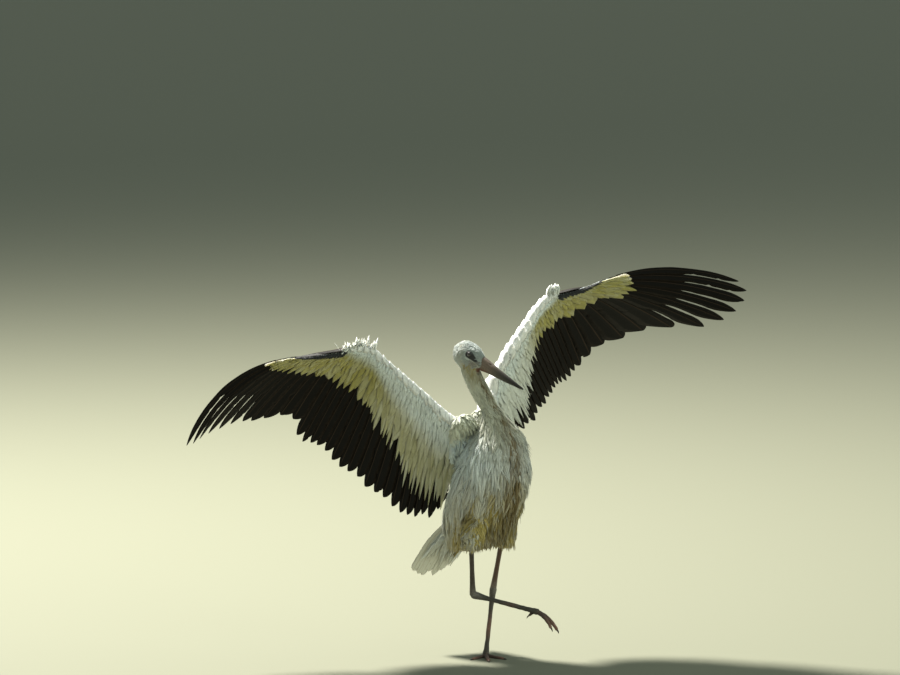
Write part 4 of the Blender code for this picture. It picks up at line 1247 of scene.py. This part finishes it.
def scattered(rng, target, spacing):
    """Random roots on a mesh, one for each square of the local spacing, and their smooth normals."""
    mesh = target.data
    mesh.calc_loop_triangles()
    corners = np.empty(len(mesh.loop_triangles) * 3, np.int32)
    mesh.loop_triangles.foreach_get("vertices", corners)
    corners = corners.reshape(-1, 3)
    places, normals = mesh_arrays(target)
    a, b, c = (places[corners[:, k]] for k in range(3))
    area = np.linalg.norm(np.cross(b - a, c - a), axis=1) / 2
    chosen = np.repeat(np.arange(len(area)), rng.poisson(area / spacing((a + b + c) / 3) ** 2))
    p, q = rng.random((2, len(chosen), 1))
    turned = p + q > 1
    p, q = np.where(turned, 1 - p, p), np.where(turned, 1 - q, q)
    mix = [1 - p - q, p, q]
    root = sum(m * places[corners[chosen, k]] for k, m in enumerate(mix))
    normal = unit(sum(m * normals[corners[chosen, k]] for k, m in enumerate(mix)))
    return root, normal


def over_form(places):
    """Smooth normals of the body's form at its nearest places, and the height of these places over it."""
    flat, up = settled(places, body_form)
    return up, ((places - flat) * up).sum(-1)


DROOP = 0.12  # how far a strand's tip sinks, as a share of its length


def strands(root, normal, length, width, depth, rise, sway, gather, rows, blunt):
    """Closed pointed strands that start on the skin and lie along the body.

    A strand runs from its root along the lie, turned by sway, and sinks by DROOP. Its height over the skin
    is depth times the share along it to the power rise. gather is an offset, sideways and lengthways, that
    dies out towards the tip, so that strands with one root draw together in a lock.
    """
    along = lie_of(root)
    along = unit(along - (along * normal).sum(1, keepdims=True) * normal)
    across = np.cross(normal, along)
    along = along * np.cos(sway)[:, None] + across * np.sin(sway)[:, None]
    t = np.linspace(0, 1, rows)[None, :, None]
    hanging = ease(0.56, 0.44, root[:, 2:3]) * 0.9
    along = unit(along - hanging * np.array([0, 0, 1.0]))
    _, beyond = over_form(root + along * length[:, None])
    allowed = depth * 1.1 + 0.004 + 0.010 * ease(0.33, 0.38, root[:, 2])
    length = length * np.clip(allowed / np.maximum(beyond, 1e-4), 0.3, 1)
    path = root[:, None] + along[:, None] * t * length[:, None, None]
    away = gather[:, 0, None, None] * across[:, None] + gather[:, 1, None, None] * along[:, None]
    path = path + away * (1 - t**1.3)
    path[..., 2] -= DROOP * length[:, None] * t[..., 0] ** 2
    flat, up = settled(path.reshape(-1, 3), body_form)
    flat, up = flat.reshape(path.shape), up.reshape(path.shape)
    high = depth[:, None, None] * t ** rise[:, None, None]
    over = ((path - flat) * up).sum(-1, keepdims=True)
    stray = np.clip((over - depth[:, None, None]) / 0.01, 0, 1)
    middle = blended(flat + up * high, path, stray)
    ahead = unit(np.gradient(middle, axis=1))
    wide = unit(np.cross(up, ahead))
    crest = np.cross(ahead, wide)
    half = (width[:, None] / 2 * tapering(t[..., 0], blunt))[..., None, None]
    thick = np.maximum(half * 0.20, 0.00022)
    return strand_points(middle, wide[:, :, None], crest[:, :, None], half, thick)


def coat_piece(name, rng, root, points, length, tint):
    """A piece of the coat from its strands' rings, roots, lengths and colours."""
    count, rows, sides = points.shape[:3]
    shape = points.shape[:-1]
    t = np.linspace(0, 1, rows)[None, :, None]
    vane = vane_rows(shape, STRAND_ACROSS, t * length[:, None, None], rng.random((count, 1, 1)))
    bake = small_map(body_map(root), STRAND_ACROSS, t)
    colour = np.broadcast_to(tint[:, None, None, :], (*shape, 3))
    faces = solid_faces(count, rows, sides)
    piece = feather_piece(name, contour_feather, points, vane, bake, faces, colour, turned=True)
    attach(piece, "root")


LUMP_WAVE = 0.095  # a soft lump of the coat is about half as wide
PART_STARTS = (0.13, 0.46, 0.66)  # shares of the way down the spine where neck, breast and belly start


def ruffle(places):
    """-1 to 1, in soft lumps about 50 mm across: the mean of three sines, each bent by another."""
    x, y, z = places.T * 2 * math.pi / LUMP_WAVE
    first = np.sin(x + 2 * np.sin(z * 0.6))
    second = np.sin(y * 1.3 + 1.5 * np.sin(x * 0.7))
    return (first + second + np.sin(z * 0.8 + 2 * np.sin(y))) / 3


def lay_coat(kind, rng, spacing, members, length, width, depth, rise, sway, rows, blunt, tones):
    """Scatters locks of strands over the body and makes their pieces. Sizes are shares of the coat's own."""
    root, normal = scattered(rng, body_form, lambda at: coat_at(at)[:, 3] * spacing)
    clear = (bare_share(root) < rng.uniform(0.15, 0.6, len(root))) & (gular_share(root) < 0.05)
    root, normal = root[clear], normal[clear]
    if members > 1:
        clear = rng.random(len(root)) < coat_at(root)[:, 4]
        root, normal = root[clear], normal[clear]
    locks = len(root)

    def each(values):
        return np.repeat(values, members, 0)

    root, normal = each(root), each(normal)
    values = coat_at(root)
    own_length = values[:, 1] * length * each(rng.uniform(0.75, 1.35, locks))
    own_length *= rng.uniform(0.85, 1.1, len(root))
    own_width = values[:, 2] * width * rng.uniform(0.8, 1.2, len(root))
    bundle = np.stack([values[:, 2], values[:, 1] * 0.16], -1) * (members > 1)
    gather = rng.normal(0, 1, (len(root), 2)) * bundle
    turn = each(rng.normal(0, sway, locks)) * (1 - 0.5 * ease(0.74, 0.80, root[:, 2]))
    short = 1 - 0.6 * bare_share(root)
    lump = ruffle(root) * ease(0.80, 0.66, root[:, 2])
    lift = each(rng.uniform(0.75, 1.25, locks)) * values[:, 0] * depth * short * (1 + 0.45 * lump)
    power = each(rng.uniform(rise * 0.8, rise * 1.2, locks))
    sizes = (own_length * short, own_width * short, lift)
    points = strands(root, normal, *sizes, power, turn, gather, rows, blunt)
    tone_and_lump_light = each(rng.uniform(*tones, (locks, 1)))
    smooth = ease(0.3, 0.0, values[:, 4:5])
    # Painted light and shade: the coat's raised lumps are a little lighter, the hollows between them darker.
    tone_and_lump_light = blended(tone_and_lump_light + 0.06 * lump[:, None], 1, smooth)
    # How strongly each lock takes the underparts' marks, whose yellow-brown is partly painted shade.
    lock_mark_share = each(rng.uniform(0.5, 1.5, locks))
    tint = markings(root, lock_mark_share) * tone_and_lump_light * rng.uniform(0.95, 1.04, (len(root), 1))
    part = np.digitize(body_map(root)[:, 1], PART_STARTS)
    for k, name in enumerate(("head", "neck", "breast", "belly")):
        mine = part == k
        coat_piece(f"{name}_{kind}", rng, root[mine], points[mine], own_length[mine], tint[mine])


lay_coat(
    "vanes", np.random.default_rng(7), spacing=1.15, members=1, length=0.9, width=1.5,
    depth=0.75, rise=0.8, sway=0.20, rows=4, blunt=2.0, tones=(0.88, 1.0),
)  # fmt: skip
lay_coat(
    "locks", np.random.default_rng(8), spacing=2.4, members=8, length=1.25, width=0.62,
    depth=1.10, rise=0.55, sway=0.24, rows=5, blunt=1.5, tones=(0.86, 1.05),
)  # fmt: skip


# ---------------------------------------------------------------- eyes
# Wet dark eyeballs with a brown iris and a black pupil, set under the lids.
def eyeball(sign):
    """A sphere with its pole at the pupil, where it bulges: radius r (1 + 0.04 exp(-(a / 0.6) ** 2))."""
    fall = np.linspace(0, math.pi, 49)[:, None]
    turn = np.linspace(0, 2 * math.pi, 48, endpoint=False)[None, :]
    r = EYE_RADIUS * (1 + 0.04 * bell(fall, 0, 0.6))
    local = np.stack(np.broadcast_arrays(
        EYE_AT[0] + r * np.sin(fall) * np.cos(turn),
        EYE_AT[1] + r * np.sin(fall) * np.sin(turn),
        sign * (EYE_OUT + r * np.cos(fall)),
    ), -1)
    iris = ease(0.28, 0.32, fall) * ease(0.66, 0.60, fall)
    streak = 0.75 + 0.25 * np.sin(turn * 31) * np.sin(turn * 13 + 1)
    brown = linear("#22170f") * (iris * streak)[..., None] + linear("#060505") * (1 - iris)[..., None]
    return HEAD_MIDDLE + local @ HEAD_AXES, brown


# The cornea is wet, so the whole ball has a clear mirror-like coat over a soft dark ground.
wet_eye, tree, shader = new_material("wet_eye", "#060505", 0.25, Coat_Weight=1.0, Coat_Roughness=0.02)
tint = add_node(tree, "Attribute", {"attribute_name": "plumage"})
where = {"Vector": add_node(tree, "TexCoord").outputs["Object"]}
fleck = add_node(tree, "TexNoise", {}, where, Scale=2500.0, Detail=2.0)
vary = add_node(tree, "MapRange", {}, {"Value": fleck}, To_Min=0.6, To_Max=1.4)
mixed = add_node(tree, "VectorMath", {"operation": "SCALE"}, {0: tint, "Scale": vary})
wire(tree, shader, {"Base Color": mixed})
for side, sign in (("left", 1), ("right", -1)):
    grid, colour = eyeball(sign)
    eye = closed_tube("eyeball_" + side, grid, wet_eye, colour)
    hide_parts("eye_" + side)
    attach(eye, "root")


# ---------------------------------------------------------------- bill
# Two horn sheaths over bone, straight and tapering, closed on one line. A young bird's is dusky: brown-pink
# at the root, with reddish gular skin below it, and blackish to the tip.
BILL_LENGTH = 0.143
BILL_BASE = HEAD_MIDDLE + FACING * (HEAD_LENGTH * 0.52 + 0.0008) + HEAD_UP * 0.0059
BILL_AT = (0, 0.12, 0.35, 0.75, 1)
BILL_WIDTH = (0.0112, 0.0104, 0.0086, 0.0048, 0.0016)
BILL_HEIGHT = {1: (0.0178, 0.0162, 0.0134, 0.0072, 0.0020), -1: (0.0225, 0.0180, 0.0132, 0.0064, 0.0020)}
ROOT_HORN, MID_HORN, TIP_HORN = linear("#6a5c51"), linear("#46403a"), linear("#1c1b1a")
RIDGE_HORN, RED_HORN = linear("#4d4a46"), linear("#5e3a2d")


def bill_half(sign):
    """Rings of half a bill: height sin(turn) ** 0.85 over a flat gape, with a nostril slit and a groove."""
    run = np.linspace(0, 1, 150)
    share = -0.09 + 1.09 * run**1.15
    turn = np.linspace(0, math.pi, 42)[None, :]
    table = np.stack([BILL_WIDTH, BILL_HEIGHT[sign]], -1)
    wide, high = curve_through(BILL_AT, table, np.clip(share, 0, 1)).T[:, :, None]
    tip = np.sqrt(1 - np.clip((share - 0.97) / 0.03, 0, 1) ** 2)[:, None] + 0.02
    s = share[:, None]
    slit = bell(s, 0.135, 0.035, 4) * bell(np.sin(turn), 0.72, 0.07) * (sign > 0)
    groove = bell(np.sin(turn), 0.62, 0.05) * ease(0.02, 0.10, s) * ease(0.75, 0.30, s)
    ripple = 0.00008 * np.sin(s * 190 + 3 * np.cos(turn * 2)) * ease(0.5, 0.1, s)
    inwards = 0.0013 * slit + 0.00045 * groove + ripple
    x = -(wide - inwards) * np.cos(turn) * tip
    z = (high - inwards) * np.sin(turn) ** 0.85 * tip
    line = 0.0003 + 0.0004 * np.sin(s * 9) * ease(0, 0.2, s)
    bow = -0.0022 * np.sin(np.clip(s, 0, 1) * math.pi)
    place = BILL_BASE + s[..., None] * BILL_LENGTH * FACING + x[..., None] * HEAD_LEFT
    place = place + (sign * (z + 0.0002) + bow + line * (1 - np.sin(turn)))[..., None] * HEAD_UP
    root = (1 - ease(0.05, 0.45, s) + 0 * turn)[..., None]
    end = (ease(0.25, 0.85, s) + 0 * turn)[..., None]
    ridge = ease(0.75, 1.0, np.sin(turn))[..., None] * np.ones_like(root)
    colour = blended(blended(MID_HORN, ROOT_HORN, root), TIP_HORN, end)
    colour = colour * (1 - 0.6 * ridge) + RIDGE_HORN * 0.6 * ridge * (1 - 0.6 * end)
    if sign < 0:
        red = (ease(0.24, 0.06, s) * ease(0.3, 0.8, np.sin(turn)))[..., None]
        colour = blended(colour, RED_HORN, 0.85 * red)
    # Painted shade: the nostril slit is darkened for the depth of the opening.
    return place, colour * (1 - 0.8 * slit[..., None])


# Horn grows in long plates: fine streaks run to the tip, and the satin gloss varies along them.
bill_keratin, tree, shader = new_material("bill_keratin", "#4a3a33", 0.38, Specular_IOR_Level=0.45)
tint = add_node(tree, "Attribute", {"attribute_name": "plumage"})
spot = add_node(tree, "TexCoord")
turned = add_node(tree, "Mapping", {"vector_type": "POINT"}, {"Vector": spot.outputs["Object"]})
turned.inputs["Rotation"].default_value = Vector(FACING).rotation_difference(Vector((0, 0, 1))).to_euler()
turned.inputs["Scale"].default_value = (1, 1, 0.12)
streaks = add_node(tree, "TexNoise", {}, {"Vector": turned}, Scale=650.0, Detail=4.0)
span = {"From_Min": 0.3, "From_Max": 0.7, "To_Min": 0.6, "To_Max": 1.35}
vary = add_node(tree, "MapRange", {}, {"Value": streaks}, **span)
mixed = add_node(tree, "VectorMath", {"operation": "SCALE"}, {0: tint, "Scale": vary})
bump = add_node(tree, "Bump", {}, {"Height": streaks}, Strength=0.5, Distance=0.0004)
rough = add_node(tree, "MapRange", {}, {"Value": streaks}, To_Min=0.28, To_Max=0.6)
wire(tree, shader, {"Base Color": mixed, "Normal": bump, "Roughness": rough})
for name, sign in (("upper", 1), ("lower", -1)):
    grid, colour = bill_half(sign)
    sheath = closed_tube(f"bill_{name}_sheath", grid, bill_keratin, colour)
    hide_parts("bill_" + name)
    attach(sheath, "root")


# ---------------------------------------------------------------- claws
# Blunt horn claws, one on the end of each toe, slightly curved.
claw_keratin, tree, shader = new_material("claw_keratin", "#231e1b", 0.35)
where = {"Vector": add_node(tree, "TexCoord").outputs["Object"]}
layers = add_node(tree, "TexNoise", {}, where, Scale=700.0, Detail=4.0)
ends = {"_6": (*linear("#1c1816"), 1), "_7": (*linear("#4a4038"), 1)}
horn = add_node(tree, "Mix", {"data_type": "RGBA"}, {0: layers}, **ends)
bump = add_node(tree, "Bump", {}, {"Height": layers}, Strength=0.4, Distance=0.0003)
wire(tree, shader, {"Base Color": horn.outputs[2], "Normal": bump})


def claw(node):
    """A cone that bows up by a tenth of its length, from the CAD claw's ends: radius r (1 - s) ** 0.6."""
    places = np.unique(np.round(vertex_places(NODES[node].data), 5), axis=0)
    far = distance(places, box_middle(node.replace("claw", "toe"))).argsort()
    base, tip = places[far[:6]].mean(0), places[far[-6:]].mean(0)
    radius = distance(places[far[:6]], base).mean()
    long = np.linalg.norm(tip - base)
    along = unit(tip - base)
    side = unit(np.cross(along, (0, 0, 1.0)))
    up = np.cross(side, along)
    s = np.linspace(-0.25, 1.0, 16)[:, None, None]
    turn = np.linspace(0, 2 * math.pi, 16, endpoint=False)[None, :, None]
    r = radius * np.clip(1 - s, 0.0, 1) ** 0.6 * (0.94 + 0.06 * np.sin(s * 3)) + 0.0001
    bow = 0.10 * long * np.sin(np.clip(s, 0, 1) * math.pi)
    grid = base + along * s * long + up * bow
    grid = grid + side * np.cos(turn) * r * 0.85 + up * np.sin(turn) * r
    grid[..., 2] = np.maximum(grid[..., 2], 0.0)
    return closed_tube(node.replace("claw", "horn_claw"), grid, claw_keratin)


for node in [name for name in NODES if name.startswith("claw_")]:
    horn_claw = claw(node)
    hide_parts(node)
    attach(horn_claw, "root")


# ---------------------------------------------------------------- clean-up
# The forms that the coat was laid on go.
for helper in [body_form, *form_of.values(), *leg_form_of.values()]:
    bpy.data.objects.remove(helper)
